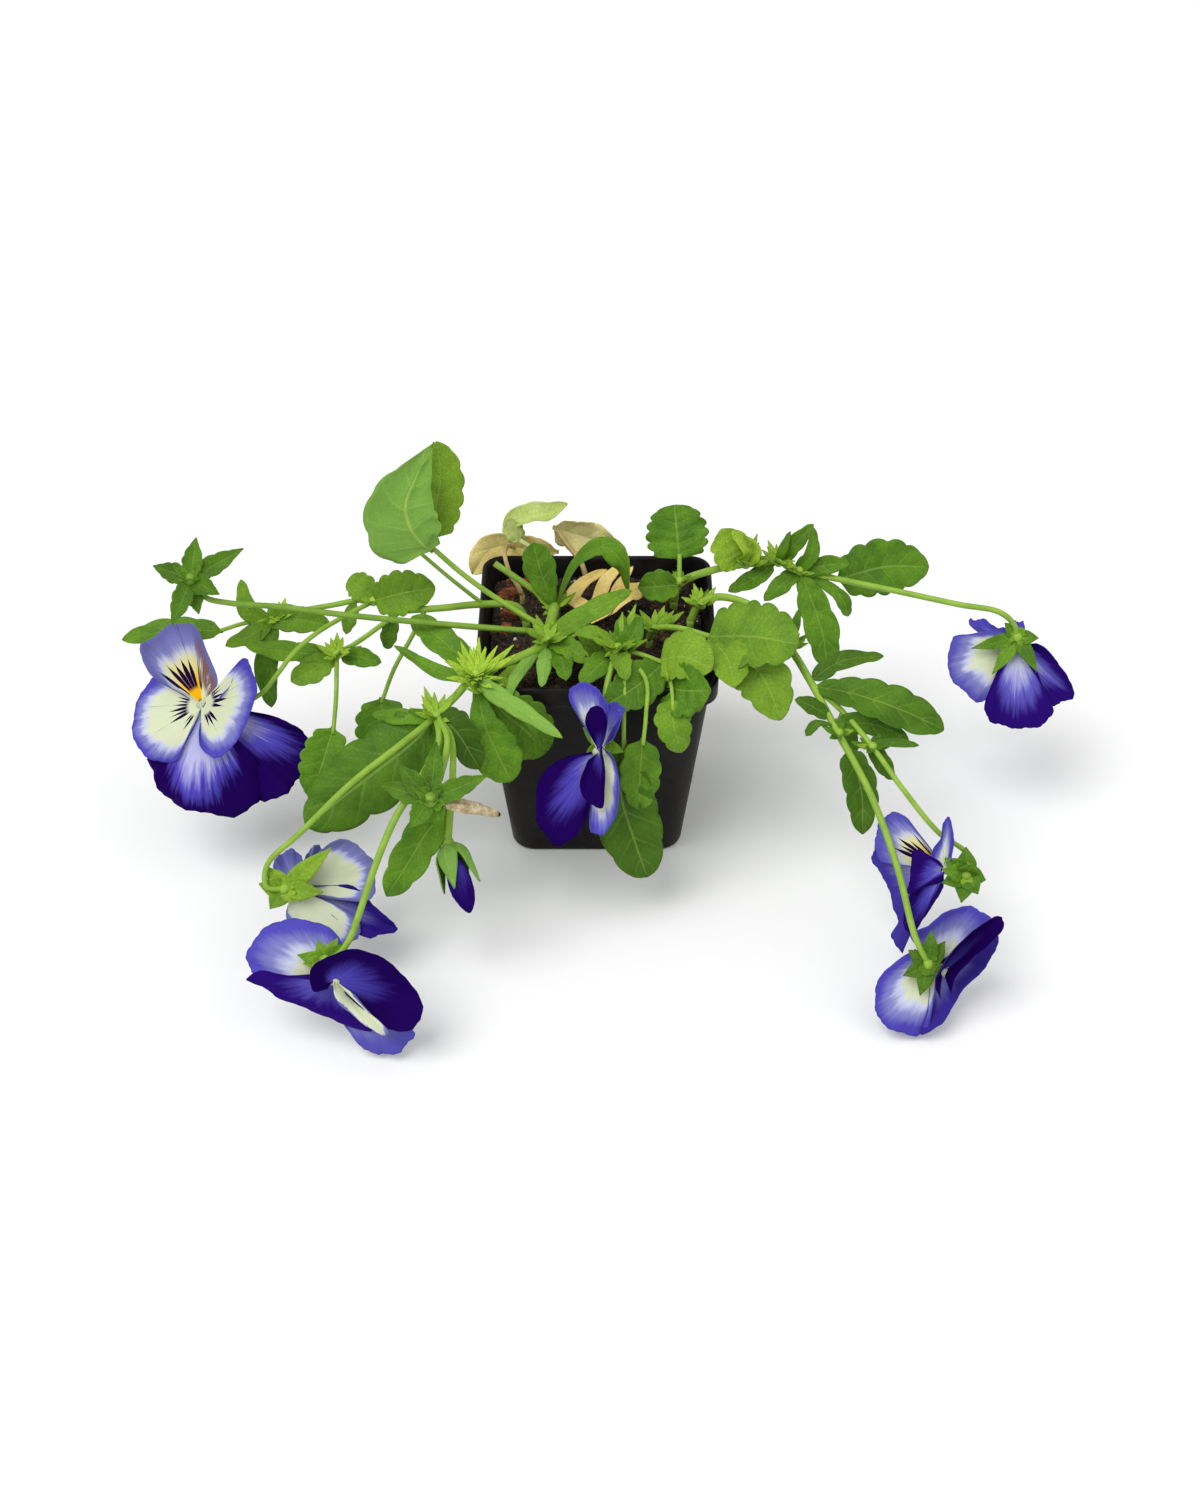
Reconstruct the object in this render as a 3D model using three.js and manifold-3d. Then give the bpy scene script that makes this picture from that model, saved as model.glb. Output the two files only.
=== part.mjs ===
// A pansy in a square nursery pot: a thin tapered pot filled with potting soil, and a
// sprawling plant whose leafy stems hang over the rim and carry seven two-tone blooms.
// Millimetres, +Z up. X runs along the row of blooms, -Y is the side they hang down on.

import * as THREE from "three";
import ManifoldModule from "manifold-3d";

const wasm = await ManifoldModule();
wasm.setup();
const { Manifold, Mesh: SolidMesh } = wasm;

// ---- driving dimensions -------------------------------------------------------------

const GAP = 0.3;                 // air left between pieces that touch on the real plant

const POT_TOP = 90;              // across the lip
const POT_BASE = 66;             // across the underside
const POT_HEIGHT = 87;
const POT_WALL = 1.2;
const POT_FLOOR = 1.6;
const LIP_HEIGHT = 8;            // depth of the band round the mouth
const LIP_STEP = 2.2;            // how far the band stands out from the wall
const CORNER_BASE = 9;           // corner radii of the square
const CORNER_TOP = 7;
const DRAIN_CORNER = 4;          // radius of the corner drain holes
const DRAIN_SIDE = 2.6;          // radius of the drain holes halfway along each side

const SOIL_TOP = 79;
const SOIL_LUMP = 0.9;           // height of the crumbs of the surface
const ROOT_DEPTH = 14;           // how deep each stem stands in its hole

const BLADE = 0.7;               // thickness of leaf and sepal blades
const MIDRIB = 0.5;              // how far the midrib stands out below the blade
const PETAL = 0.7;               // thickness of the petals
const CALYX_RADIUS = 2.0;
const TOUCH = 0.006;             // corners closer than this count as touching
const EVEN_OUT = 0.4;            // faces closer than this to their neighbours' plane are merged

// The blooms are laid out on sheets that lean back by this angle from upright: x to the
// right, y up the sheet, z out of its front.
const SHEET_LEAN = THREE.MathUtils.degToRad(38);

const UPWARD = [0, -0.5, 0.86];  // usual way for the upper face of a leaf to look
const FORWARD = [0, -0.79, 0.61];
const BACKWARD = [0, 0.79, -0.61];

// ---- small maths ----------------------------------------------------------------------

const vec = (p) => (p.isVector3 ? p.clone() : new THREE.Vector3(...p));

function seeded(seed) {
  let state = seed >>> 0;
  return () => {
    state = (state * 1664525 + 1013904223) >>> 0;
    return state / 4294967296;
  };
}

function smoothPath(points, count) {
  const curve = new THREE.CatmullRomCurve3(points.map(vec), false, "centripetal");
  return Array.from({ length: count + 1 }, (_, i) => curve.getPoint(i / count));
}

function tangentAt(points, i) {
  const before = points[Math.max(i - 1, 0)];
  const after = points[Math.min(i + 1, points.length - 1)];
  return after.clone().sub(before).normalize();
}

// ---- closed meshes from rings of points -------------------------------------------------

function solid(points, triangles) {
  const vertProperties = new Float32Array(points.flatMap((p) => [p.x, p.y, p.z]));
  let volume = 0;
  for (const [a, b, c] of triangles) {
    volume += points[a].dot(points[b].clone().cross(points[c]));
  }
  const faces = volume < 0 ? triangles.map(([a, b, c]) => [a, c, b]) : triangles;
  const mesh = new SolidMesh({
    numProp: 3,
    vertProperties,
    triVerts: new Uint32Array(faces.flat()),
  });
  mesh.merge();
  return new Manifold(mesh);
}

// Joins rings that all have the same number of points and caps both ends.
function loft(rings) {
  const n = rings[0].length;
  const points = rings.flat();
  const triangles = [];
  for (let r = 0; r + 1 < rings.length; r += 1) {
    for (let i = 0; i < n; i += 1) {
      const a = r * n + i;
      const b = r * n + ((i + 1) % n);
      triangles.push([a, b, b + n], [a, b + n, a + n]);
    }
  }
  const last = (rings.length - 1) * n;
  for (let i = 1; i + 1 < n; i += 1) {
    triangles.push([0, i + 1, i], [last, last + i, last + i + 1]);
  }
  return solid(points, triangles);
}

function ring(centre, across, other, radius, sides) {
  return Array.from({ length: sides }, (_, k) => {
    const angle = (2 * Math.PI * k) / sides;
    return centre.clone()
      .addScaledVector(across, radius * Math.cos(angle))
      .addScaledVector(other, radius * Math.sin(angle));
  });
}

// An upright round post, for the feet of the stems and for the holes that they stand in.
function post([x, y], bottom, top, radius, sides) {
  const east = new THREE.Vector3(1, 0, 0);
  const north = new THREE.Vector3(0, 1, 0);
  return loft([bottom, top].map((z) => ring(new THREE.Vector3(x, y, z), east, north, radius, sides)));
}

function tube(path, radii, options = {}) {
  const { sides = radii[0] < 1.15 ? 4 : 5, steps = Math.ceil((path.length - 1) * 1.3) } = options;
  const spine = smoothPath(path, steps);
  let across = new THREE.Vector3(0.31, 0.22, 0.93);
  const rings = spine.map((centre, i) => {
    const along = tangentAt(spine, i);
    across = across.clone().addScaledVector(along, -across.dot(along)).normalize();
    const other = along.clone().cross(across);
    const radius = radii[0] + (radii[1] - radii[0]) * (i / steps);
    return ring(centre, across, other, radius, sides);
  });
  return loft(rings);
}

function spindle(from, to, radius, { sides = 8, ends = 0.3 } = {}) {
  const rows = [ends, 0.75, 1, 0.95, 0.7, ends * 0.6];
  const a = vec(from);
  const b = vec(to);
  const along = b.clone().sub(a).normalize();
  const across = new THREE.Vector3(0.31, 0.22, 0.93).cross(along).normalize();
  const other = along.clone().cross(across);
  return loft(rows.map((size, i) => {
    const centre = a.clone().lerp(b, i / (rows.length - 1));
    return ring(centre, across, other, radius * size, sides);
  }));
}

// A small rounded lump, such as the cup under a bloom.
function ball(at, radius, sides = 6) {
  const centre = vec(at);
  const axis = new THREE.Vector3(0.2, -0.75, 0.63).normalize();
  const across = new THREE.Vector3(1, 0, 0).cross(axis).normalize();
  const other = axis.clone().cross(across);
  return loft([-0.9, -0.4, 0.4, 0.9].map((height) => {
    const level = centre.clone().addScaledVector(axis, radius * height);
    return ring(level, across, other, radius * Math.sqrt(1 - height * height), sides);
  }));
}

// ---- leaves ---------------------------------------------------------------------------

// Half-width of a blade at u (0 at the stalk, 1 at the tip), widest at `peak`.
function outline(u, peak, fullness) {
  const bent = u ** (Math.log(0.5) / Math.log(peak));
  return Math.sin(Math.PI * bent) ** fullness;
}

const SMALL_LEAF = 10;           // narrower blades have no fold along the midrib
const ACROSS = { 1: [-1, 0, 1], 2: [-1, -0.5, 0, 0.5, 1] };

// A blade along a path. `teeth` is the number of rounded teeth down each edge; `left` and
// `right` are the angles that the two halves curl through, towards the upper face.
function leaf(path, width, options = {}) {
  const {
    up = UPWARD, teeth = 3, peak = 0.45, fullness = 0.6, cup = 0.35,
    left = cup, right = cup, halves = 1, notch = 0.8,
  } = options;
  const rows = teeth * 2 + 1;
  const spine = smoothPath(path, rows);
  const across = width < SMALL_LEAF ? [-1, 1] : ACROSS[halves];
  const rings = spine.map((centre, i) => {
    const u = i / rows;
    const along = tangentAt(spine, i);
    const side = along.clone().cross(vec(up)).normalize();
    const normal = side.clone().cross(along);
    const tooth = i % 2 === 1 ? 1 : notch;
    const half = Math.max((width / 2) * outline(0.04 + 0.93 * u, peak, fullness) * tooth, 0.5);
    const top = [];
    const bottom = [];
    for (const v of across) {
      const bend = (v < 0 ? left : right) + 1e-6;
      const out = half * Math.sign(v) * Math.sin(bend * Math.abs(v)) / bend;
      const rise = half * (1 - Math.cos(bend * Math.abs(v))) / bend;
      const face = centre.clone().addScaledVector(side, out).addScaledVector(normal, rise);
      const tilt = Math.tan(bend * Math.abs(v) * 0.6);
      const lean = normal.clone().addScaledVector(side, -Math.sign(v) * tilt).normalize();
      const depth = BLADE + (v === 0 ? MIDRIB : 0);
      top.push(face);
      bottom.push(face.clone().addScaledVector(lean, -depth));
    }
    return [...top, ...bottom.reverse()];
  });
  return loft(rings);
}

// The swollen node that leaves and stipules spring from.
function knob(at, radius) {
  const centre = vec(at);
  const axis = new THREE.Vector3(0.3, -0.5, 0.8).normalize();
  return loft([-0.8, 0, 0.8].map((height) => {
    const level = centre.clone().addScaledVector(axis, radius * height);
    const across = new THREE.Vector3(0.9, 0.3, 0.1).cross(axis).normalize();
    return ring(level, across, axis.clone().cross(across), radius * (1 - 0.8 * Math.abs(height)), 4);
  }));
}

// A ruff of narrow stipule lobes round a node of the stem.
function ruff(at, count, length, seed, along = [0, 0, 1]) {
  const random = seeded(seed);
  const centre = vec(at);
  const axis = vec(along).normalize();
  const across = new THREE.Vector3(0.6, -0.5, 0.3).cross(axis).normalize();
  const other = axis.clone().cross(across);
  const lobes = Array.from({ length: count }, (_, k) => {
    const angle = (2 * Math.PI * (k + 0.5 * random())) / count;
    const reach = length * (0.7 + 0.5 * random());
    const tip = centre.clone()
      .addScaledVector(across, reach * Math.cos(angle))
      .addScaledVector(other, reach * Math.sin(angle))
      .addScaledVector(axis, reach * (0.15 + 0.7 * random()));
    const middle = centre.clone().lerp(tip, 0.55).addScaledVector(axis, -0.08 * reach);
    const root = centre.clone().lerp(tip, 1.3 / reach);
    return tube([root, middle, tip], [1.1, 0.4], { sides: 3, steps: 2 });
  });
  return [knob(centre, 2.4), ...lobes];
}

// ---- blooms ---------------------------------------------------------------------------

// Places points given on the leaning sheet of a bloom.
function sheet(origin) {
  const up = new THREE.Vector3(0, Math.sin(SHEET_LEAN), Math.cos(SHEET_LEAN));
  const out = new THREE.Vector3(0, -Math.cos(SHEET_LEAN), Math.sin(SHEET_LEAN));
  return ([x, y, z]) => vec(origin).add(new THREE.Vector3(x, 0, 0))
    .addScaledVector(up, y)
    .addScaledVector(out, z);
}

// A petal spread from its claw at `base` to the points of its rim.
function petal(base, rim, { bulge = 1.2, ruffle = 0.7, rows = 2 } = {}) {
  const columns = rim.length > 8 ? 7 : 5;
  const claw = vec(base);
  const edge = smoothPath(rim, columns);
  const reach = edge.reduce((sum, p) => sum + p.distanceTo(claw), 0) / edge.length;
  const facing = new THREE.Vector3();
  for (let j = 0; j < columns; j += 1) {
    facing.add(edge[j].clone().sub(claw).cross(edge[j + 1].clone().sub(claw)));
  }
  facing.normalize();
  const start = Math.min(1.3 / reach, 0.3);
  const grid = [];
  for (let i = 0; i <= rows; i += 1) {
    const t = start + (1 - start) * (i / rows);
    grid.push(edge.map((p, j) => {
      const lift = bulge * 4 * t * (1 - t) + ruffle * t * t * Math.sin(j * 2.1);
      return claw.clone().lerp(p, t).addScaledVector(facing, lift);
    }));
  }
  const front = [];
  const back = [];
  for (let i = 0; i <= rows; i += 1) {
    for (let j = 0; j <= columns; j += 1) {
      const downhill = grid[Math.min(i + 1, rows)][j].clone().sub(grid[Math.max(i - 1, 0)][j]);
      const sideways = grid[i][Math.min(j + 1, columns)].clone().sub(grid[i][Math.max(j - 1, 0)]);
      const normal = downhill.clone().cross(sideways);
      // where the rim leaves the claw along a ray, the petal's own facing is the sounder direction
      if (normal.length() < 0.2 * downhill.length() * sideways.length()) {
        normal.copy(facing);
      }
      normal.normalize();
      front.push(grid[i][j].clone().addScaledVector(normal, PETAL / 2));
      back.push(grid[i][j].clone().addScaledVector(normal, -PETAL / 2));
    }
  }
  const n = columns + 1;
  const total = front.length;
  const triangles = [];
  const quad = (a, b, c, d) => triangles.push([a, b, c], [a, c, d]);
  for (let i = 0; i < rows; i += 1) {
    for (let j = 0; j < columns; j += 1) {
      const a = i * n + j;
      quad(a, a + 1, a + n + 1, a + n);
      quad(total + a, total + a + n, total + a + n + 1, total + a + 1);
    }
  }
  for (let j = 0; j < columns; j += 1) {
    const rimStart = rows * n + j;
    quad(j + 1, j, total + j, total + j + 1);
    quad(rimStart, rimStart + 1, total + rimStart + 1, total + rimStart);
  }
  for (let i = 0; i < rows; i += 1) {
    const leftSide = i * n;
    const rightSide = i * n + columns;
    quad(leftSide, leftSide + n, total + leftSide + n, total + leftSide);
    quad(rightSide + n, rightSide, total + rightSide, total + rightSide + n);
  }
  return solid([...front, ...back], triangles);
}

// Where each bloom's sheet starts, and on it the calyx, the throat, the tips of the sepals
// and the rims of the petals. A rim runs from one side of the claw to the other.
const BLOOMS = {
  a: {
    at: [-148, -28, 68],
    calyx: [1, -1, -9],
    throat: [0, 0, 0],
    sepals: [[9, 5, -9], [-6, 9, -9], [-9, -4, -9], [2, -11, -10], [10, -6, -11]],
    petals: {
      dark_right: [[9, -3, -6], [17, -3, -6], [27, -5, -7], [33, -8, -8], [38, -12, -9], [41, -19, -9],
        [40, -24, -8], [35, -29, -7], [30, -34, -6], [22, -37, -6], [14, -28, -6]],
      dark_left: [[-7, -12, -3], [-17, -16, -4], [-22, -20, -5], [-20, -26, -5], [-18, -32, -5],
        [-13, -37, -4], [-5, -40, -3], [4, -42, -3], [13, -42, -4], [20, -37, -4], [22, -32, -4],
        [20, -22, -3], [10, -11, -3]],
      lateral_left: [[-5, 3, 0], [-12, 8, 0], [-18, 10, -1], [-23, 6, -2], [-26, 0, -3], [-27, -8, -3],
        [-26, -15, -2], [-21, -20, -1], [-16, -22, 0], [-10, -21, 0], [-6, -14, 0], [-2, -6, 0]],
      lateral_right: [[7, 2, 1], [11, 7, 3], [14, 15, 5], [17, 17, 6], [19, 14, 5], [21, 7, 3],
        [19, -2, 2], [14, -12, 1], [10, -18, 1], [5, -20, 1], [0, -17, 1], [-1, -11, 1], [0, -5, 0]],
      lip: [[-5, 2, 1], [-10, 5, 2], [-18, 10, 3], [-22, 17, 4], [-22, 22, 3], [-17, 26, 1], [-11, 30, -1],
        [-5, 30, -2], [-2, 28, -1], [2, 19, 1], [6, 9, 2], [4, 2, 1]],
    },
  },
  b: {
    at: [-112, -99, 38],
    calyx: [0, 0, 0],
    throat: [4, 0, -5],
    sepals: [[17, 15, 2], [14, -1, 2], [-9, 2, 2], [-5, -7, 2], [-6, 8, 0]],
    petals: {
      lip: [[8, 5, -2], [11, 10, -3], [14, 15, -4], [21, 18, -5], [27, 14, -6], [32, 9, -7], [32, 3, -7],
        [30, -4, -6], [20, -4, -4], [10, -2, -2]],
      dark_right: [[8, 1, -4], [17, 1, -6], [23, 1, -7], [29, -4, -8], [35, -10, -8], [40, -15, -9],
        [34, -17, -8], [29, -18, -7], [22, -14, -5], [11, -5, -4]],
      lateral_left: [[2, -3, -3], [0, -10, -4], [4, -15, -5], [13, -20, -6], [23, -20, -6], [27, -14, -5],
        [20, -7, -4], [11, -3, -3]],
      dark_left: [[-3, 3, -5], [-6, 8, -14], [-4, 11, -22], [1, 12, -25], [4, 9, -20], [5, 4, -7]],
      lateral_right: [[4, 4, -5], [5, 9, -14], [7, 13, -20], [10, 14, -23], [12, 10, -17], [9, 4, -6]],
    },
  },
  c: {
    at: [-93, -134, 32],
    calyx: [-1, 3.2, 2.5],
    throat: [2, -4, 0],
    sepals: [[-11, 5, 2], [-4, 10, 1], [3, 11, 1.5], [-9, 2, 2.5], [6, 6, 1.5]],
    petals: {
      lateral_left: [[3, 3, -1], [4, 9, -2], [-2, 15, -2], [-10, 17, -2], [-17, 17, -2], [-24, 13, -2],
        [-29, 6, -2], [-29, 1, -2], [-25, -3, -1], [-15, -4, 0], [-4, -5, 0]],
      dark_left: [[-5, -2, 1], [-16, -2, 1], [-25, -1, 0], [-29, -4, -1], [-24, -7, -1], [-17, -11, -1],
        [-10, -13, -1], [-3, -17, -2], [5, -20, -2], [15, -22, 0], [12, -15, 1], [6, -8, 1]],
      lip: [[3, -10, -1], [4, -18, -3], [8, -26, -5], [13, -30, -6], [19, -31, -6], [25, -29, -5],
        [29, -24, -4], [27, -19, -3], [16, -11, -1]],
      dark_right: [[0, -6, 5], [-5, -7, 6], [-6, -2, 7], [-4, 3, 8], [2, 6, 9], [10, 8, 9], [19, 5, 8],
        [26, -1, 7], [31, -8, 5], [33, -15, 4], [29, -20, 3], [22, -21, 3], [13, -14, 4], [6, -8, 4]],
      lateral_right: [[2, -6, 5], [3, -10, 6], [8, -15, 6], [14, -20, 5], [20, -23, 4], [21, -21, 5],
        [15, -15, 6], [9, -8, 6]],
    },
  },
  d: {
    at: [1, -68, 75],
    calyx: [1, 4, -9],
    throat: [0, 1, -1],
    sepals: [[-6, 10, -10], [6, 11, -10], [9, 1, -10], [-6, -3, -11], [4, -6, -11]],
    petals: {
      lateral_left: [[-3, 7, 0], [-8, 15, -1], [-11, 21, -2], [-9, 25, -2], [-4, 26, -2], [0, 23, -2],
        [3, 18, -1], [3, 11, 0], [2, 6, 0]],
      dark_left: [[-3, 1, -2], [-12, -1, -3], [-19, -5, -4], [-23, -13, -5], [-23, -22, -6], [-20, -29, -6],
        [-15, -33, -6], [-9, -30, -5], [-5, -24, -4], [-3, -16, -3], [-1, -7, -2]],
      lip: [[1, 3, 0], [5, -1, -1], [7, -8, -2], [7, -17, -2], [4, -26, -3], [0, -29, -4], [-3, -27, -4],
        [-3, -18, -3], [-2, -7, -1]],
      lateral_right: [[1, 5, -1], [2, 11, -2], [3, 18, -3], [5, 19, -4], [9, 17, -5], [8, 13, -4], [5, 6, -2]],
      dark_right: [[-2, 5, 3], [-5, 12, 4], [-3, 17, 5], [1, 17, 5], [3, 12, 4], [1, 3, 3], [2, -5, 2],
        [2, -12, 2], [1, -19, 1], [-4, -17, 1], [-7, -11, 1], [-4, -2, 2]],
    },
  },
  e: {
    at: [163, 9, 72],
    calyx: [0, 0.4, 0.4],
    throat: [0, -3, -5],
    sepals: [[-18, -4, 2], [-10, -14, 2], [7, -13, 3.5], [8, 0, 2], [-5, 6, 1]],
    petals: {
      lateral_left: [[-5, 3, -3], [-11, 3, -4], [-18, 2, -4], [-24, 1, -4], [-26, -6, -3], [-26, -14, -2],
        [-22, -19, -2], [-16, -24, -1], [-12, -24, -1], [-8, -18, -1], [-3, -8, -2]],
      dark_left: [[-5, -7, 0], [-10, -18, 1], [-13, -28, 2], [-10, -32, 2], [-5, -34, 2], [3, -35, 2],
        [10, -33, 2], [14, -28, 2], [10, -19, 1], [5, -7, 0]],
      dark_right: [[3, -3, -2], [8, -2, -2], [15, -8, -3], [19, -14, -4], [23, -22, -4], [17, -25, -3],
        [12, -26, -2], [6, -19, -1], [2, -9, -1]],
      lip: [[-4, 2, -6], [-9, 4, -14], [-13, 5, -24], [-14, 7, -30], [-10, 9, -32], [-5, 6, -24], [-2, 2, -8]],
      lateral_right: [[1, 3, -6], [2, 5, -14], [3, 7, -26], [7, 7, -30], [9, 3, -24], [6, 0, -8]],
    },
  },
  f: {
    at: [128, -94, 42],
    calyx: [5, -1, 0],
    throat: [-3, 1, 0],
    sepals: [[5, 9, 0], [12, -3, 1], [9, -8, 2], [3, -11, 2], [6, 3, 7]],
    petals: {
      lip: [[-6, 6, -1], [-12, 14, -1], [-17, 20, -2], [-22, 21, -3], [-26, 17, -4], [-27, 11, -5],
        [-26, 4, -5], [-17, 2, -2], [-8, 1, -1]],
      lateral_left: [[-12, 4, -5], [-21, 7, -8], [-27, 8, -10], [-28, 4, -11], [-24, -2, -11], [-21, -10, -10],
        [-19, -19, -9], [-21, -24, -9], [-17, -30, -8]],
      dark_left: [[-5, 4, 2], [-14, 8, 3], [-15, -1, 2], [-16, -8, 2], [-12, -6, 2], [-4, -4, 1]],
      dark_right: [[-7, -1, -1], [-13, -5, -1], [-16, -11, -2], [-17, -19, -3], [-14, -23, -3], [-10, -17, -2],
        [-6, -11, -1], [-3, -6, -1]],
      lateral_right: [[-5, 3, 2], [-8, 6, 3], [-5, 12, 4], [-4, 18, 4], [-2, 20, 4], [0, 14, 3], [0, 10, 3],
        [-1, 4, 2]],
    },
  },
  g: {
    at: [117, -126, 28],
    calyx: [0, -1, 0],
    throat: [3, -2, -6],
    sepals: [[1, 11, 1], [-9, -5, 1], [-3, -12, 1], [-7, 4, 0], [6, 7, -0.5]],
    petals: {
      lip: [[-3, 5, -3], [-6, 9, -4], [0, 12, -5], [7, 17, -6], [15, 19, -7], [20, 17, -8], [24, 13, -8],
        [19, 8, -6], [12, 4, -4], [5, 0, -3]],
      dark_left: [[6, -1, -4], [16, 5, -5], [23, 11, -8], [26, 7, -9], [24, 2, -9], [21, -3, -8],
        [16, -8, -7], [9, -17, -6], [4, -23, -5], [-2, -26, -5], [0, -18, -4], [1, -9, -4]],
      lateral_left: [[-4, 4, -3], [-9, 1, -3], [-15, -4, -4], [-18, -11, -4], [-18, -17, -4],
        [-16, -22, -4], [-11, -25, -4], [-4, -27, -4], [0, -25, -4], [2, -16, -3], [3, -8, -3]],
      lateral_right: [[2, -5, -8], [6, -8, -16], [11, -6, -20], [13, 0, -20], [10, 4, -12]],
      dark_right: [[4, -11, 1], [3, -7, 3], [6, -1, 4], [10, 5, 5], [16, 11, 5], [24, 16, 4], [26, 14, 4],
        [19, 8, 3], [12, 4, 3], [8, -1, 2], [6, -8, 1]],
    },
    bases: { dark_right: [6, -4, -3] },
  },
};

// The petals of one bloom with the tube that holds them, stopping short of the calyx.
function corolla(bloom) {
  const place = sheet(bloom.at);
  const throat = place(bloom.throat);
  const calyx = place(bloom.calyx);
  const back = calyx.clone().sub(throat).normalize();
  const out = place([0, 0, 1]).sub(place([0, 0, 0]));
  const meanHeight = (rim) => rim.reduce((sum, point) => sum + point[2], 0) / rim.length;
  const order = Object.keys(bloom.petals)
    .sort((one, other) => meanHeight(bloom.petals[one]) - meanHeight(bloom.petals[other]));
  const neck = calyx.clone().addScaledVector(back, -(CALYX_RADIUS + GAP));
  const mouth = throat.clone().addScaledVector(back, -2.4);
  const pieces = [tube([mouth, neck], [2.6, 1.5], { sides: 6, steps: 1 })];
  for (const [name, rim] of Object.entries(bloom.petals)) {
    const own = bloom.bases?.[name];
    const layer = 0.95 * (order.indexOf(name) - 2);
    const base = own ? place(own) : throat.clone().addScaledVector(out, layer);
    if (own) {
      pieces.push(tube([throat, base.clone().lerp(throat, -0.2)], [1.6, 1.6], { steps: 1 }));
    }
    pieces.push(petal(base, rim.map(place)));
  }
  return pieces;
}

// One sepal: a flat pointed blade.
function sepal(path, width, up) {
  return leaf(path, width, { up, teeth: 1, notch: 1, peak: 0.4, cup: 0 });
}

// The green cup behind a bloom: a small receptacle with five pointed sepals.
function calyx(bloom) {
  const place = sheet(bloom.at);
  const centre = place(bloom.calyx);
  const out = place([0, 0, 1]).sub(place([0, 0, 0]));
  const pieces = [ball(centre, CALYX_RADIUS)];
  for (const tip of bloom.sepals) {
    const end = place(tip);
    const middle = centre.clone().lerp(end, 0.5).addScaledVector(out, 0.8);
    const root = centre.clone().lerp(end, 1.2 / centre.distanceTo(end));
    pieces.push(sepal([root, middle, end], 4.2, out));
  }
  return pieces;
}

// The calyx left on the stalk when a bloom has dropped: a round ovary and spread sepals.
function spentCalyx(at, radius, tips) {
  const centre = vec(at);
  const pieces = [ball(centre, radius)];
  for (const tip of tips) {
    const root = centre.clone().lerp(vec(tip), 1.6 / centre.distanceTo(vec(tip)));
    pieces.push(sepal([root, centre.clone().lerp(vec(tip), 0.55), vec(tip)], 5.5, FORWARD));
  }
  return pieces;
}

// The closed bud at the front.
const BUD = { base: [-53, -92, 54], tip: [-45, -110, 36.5], radius: 4.4 };

// ---- stems ----------------------------------------------------------------------------

// The straight foot of a stem in its hole in the soil.
const FEET = {
  stem_left: { at: [-27, 6], radius: 1.7 },
  stem_front_left: { at: [-16, 13], radius: 2.1 },
  stem_centre: { at: [2, -21], radius: 1.7 },
  leaf_right_inner: { at: [20, -6], radius: 1.4 },
  stem_right_back: { at: [30, 19], radius: 1.7 },
  stem_right_front: { at: [36, 6], radius: 1.6 },
  curled_leaf_rear: { at: [-18, 31], radius: 1.1 },
  dead_leaf_rear_left: { at: [-29, 23], radius: 1.0 },
  dead_leaf_rear: { at: [-4, 34], radius: 1.0 },
  dead_leaf_centre: { at: [-5, 3], radius: 1.0 },
};

function foot(name, top = SOIL_TOP + 4) {
  const { at, radius } = FEET[name];
  return post(at, SOIL_TOP - ROOT_DEPTH, top, radius, 6);
}

function footTop(name) {
  const [x, y] = FEET[name].at;
  return [x, y, SOIL_TOP + 3.5];
}

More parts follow.
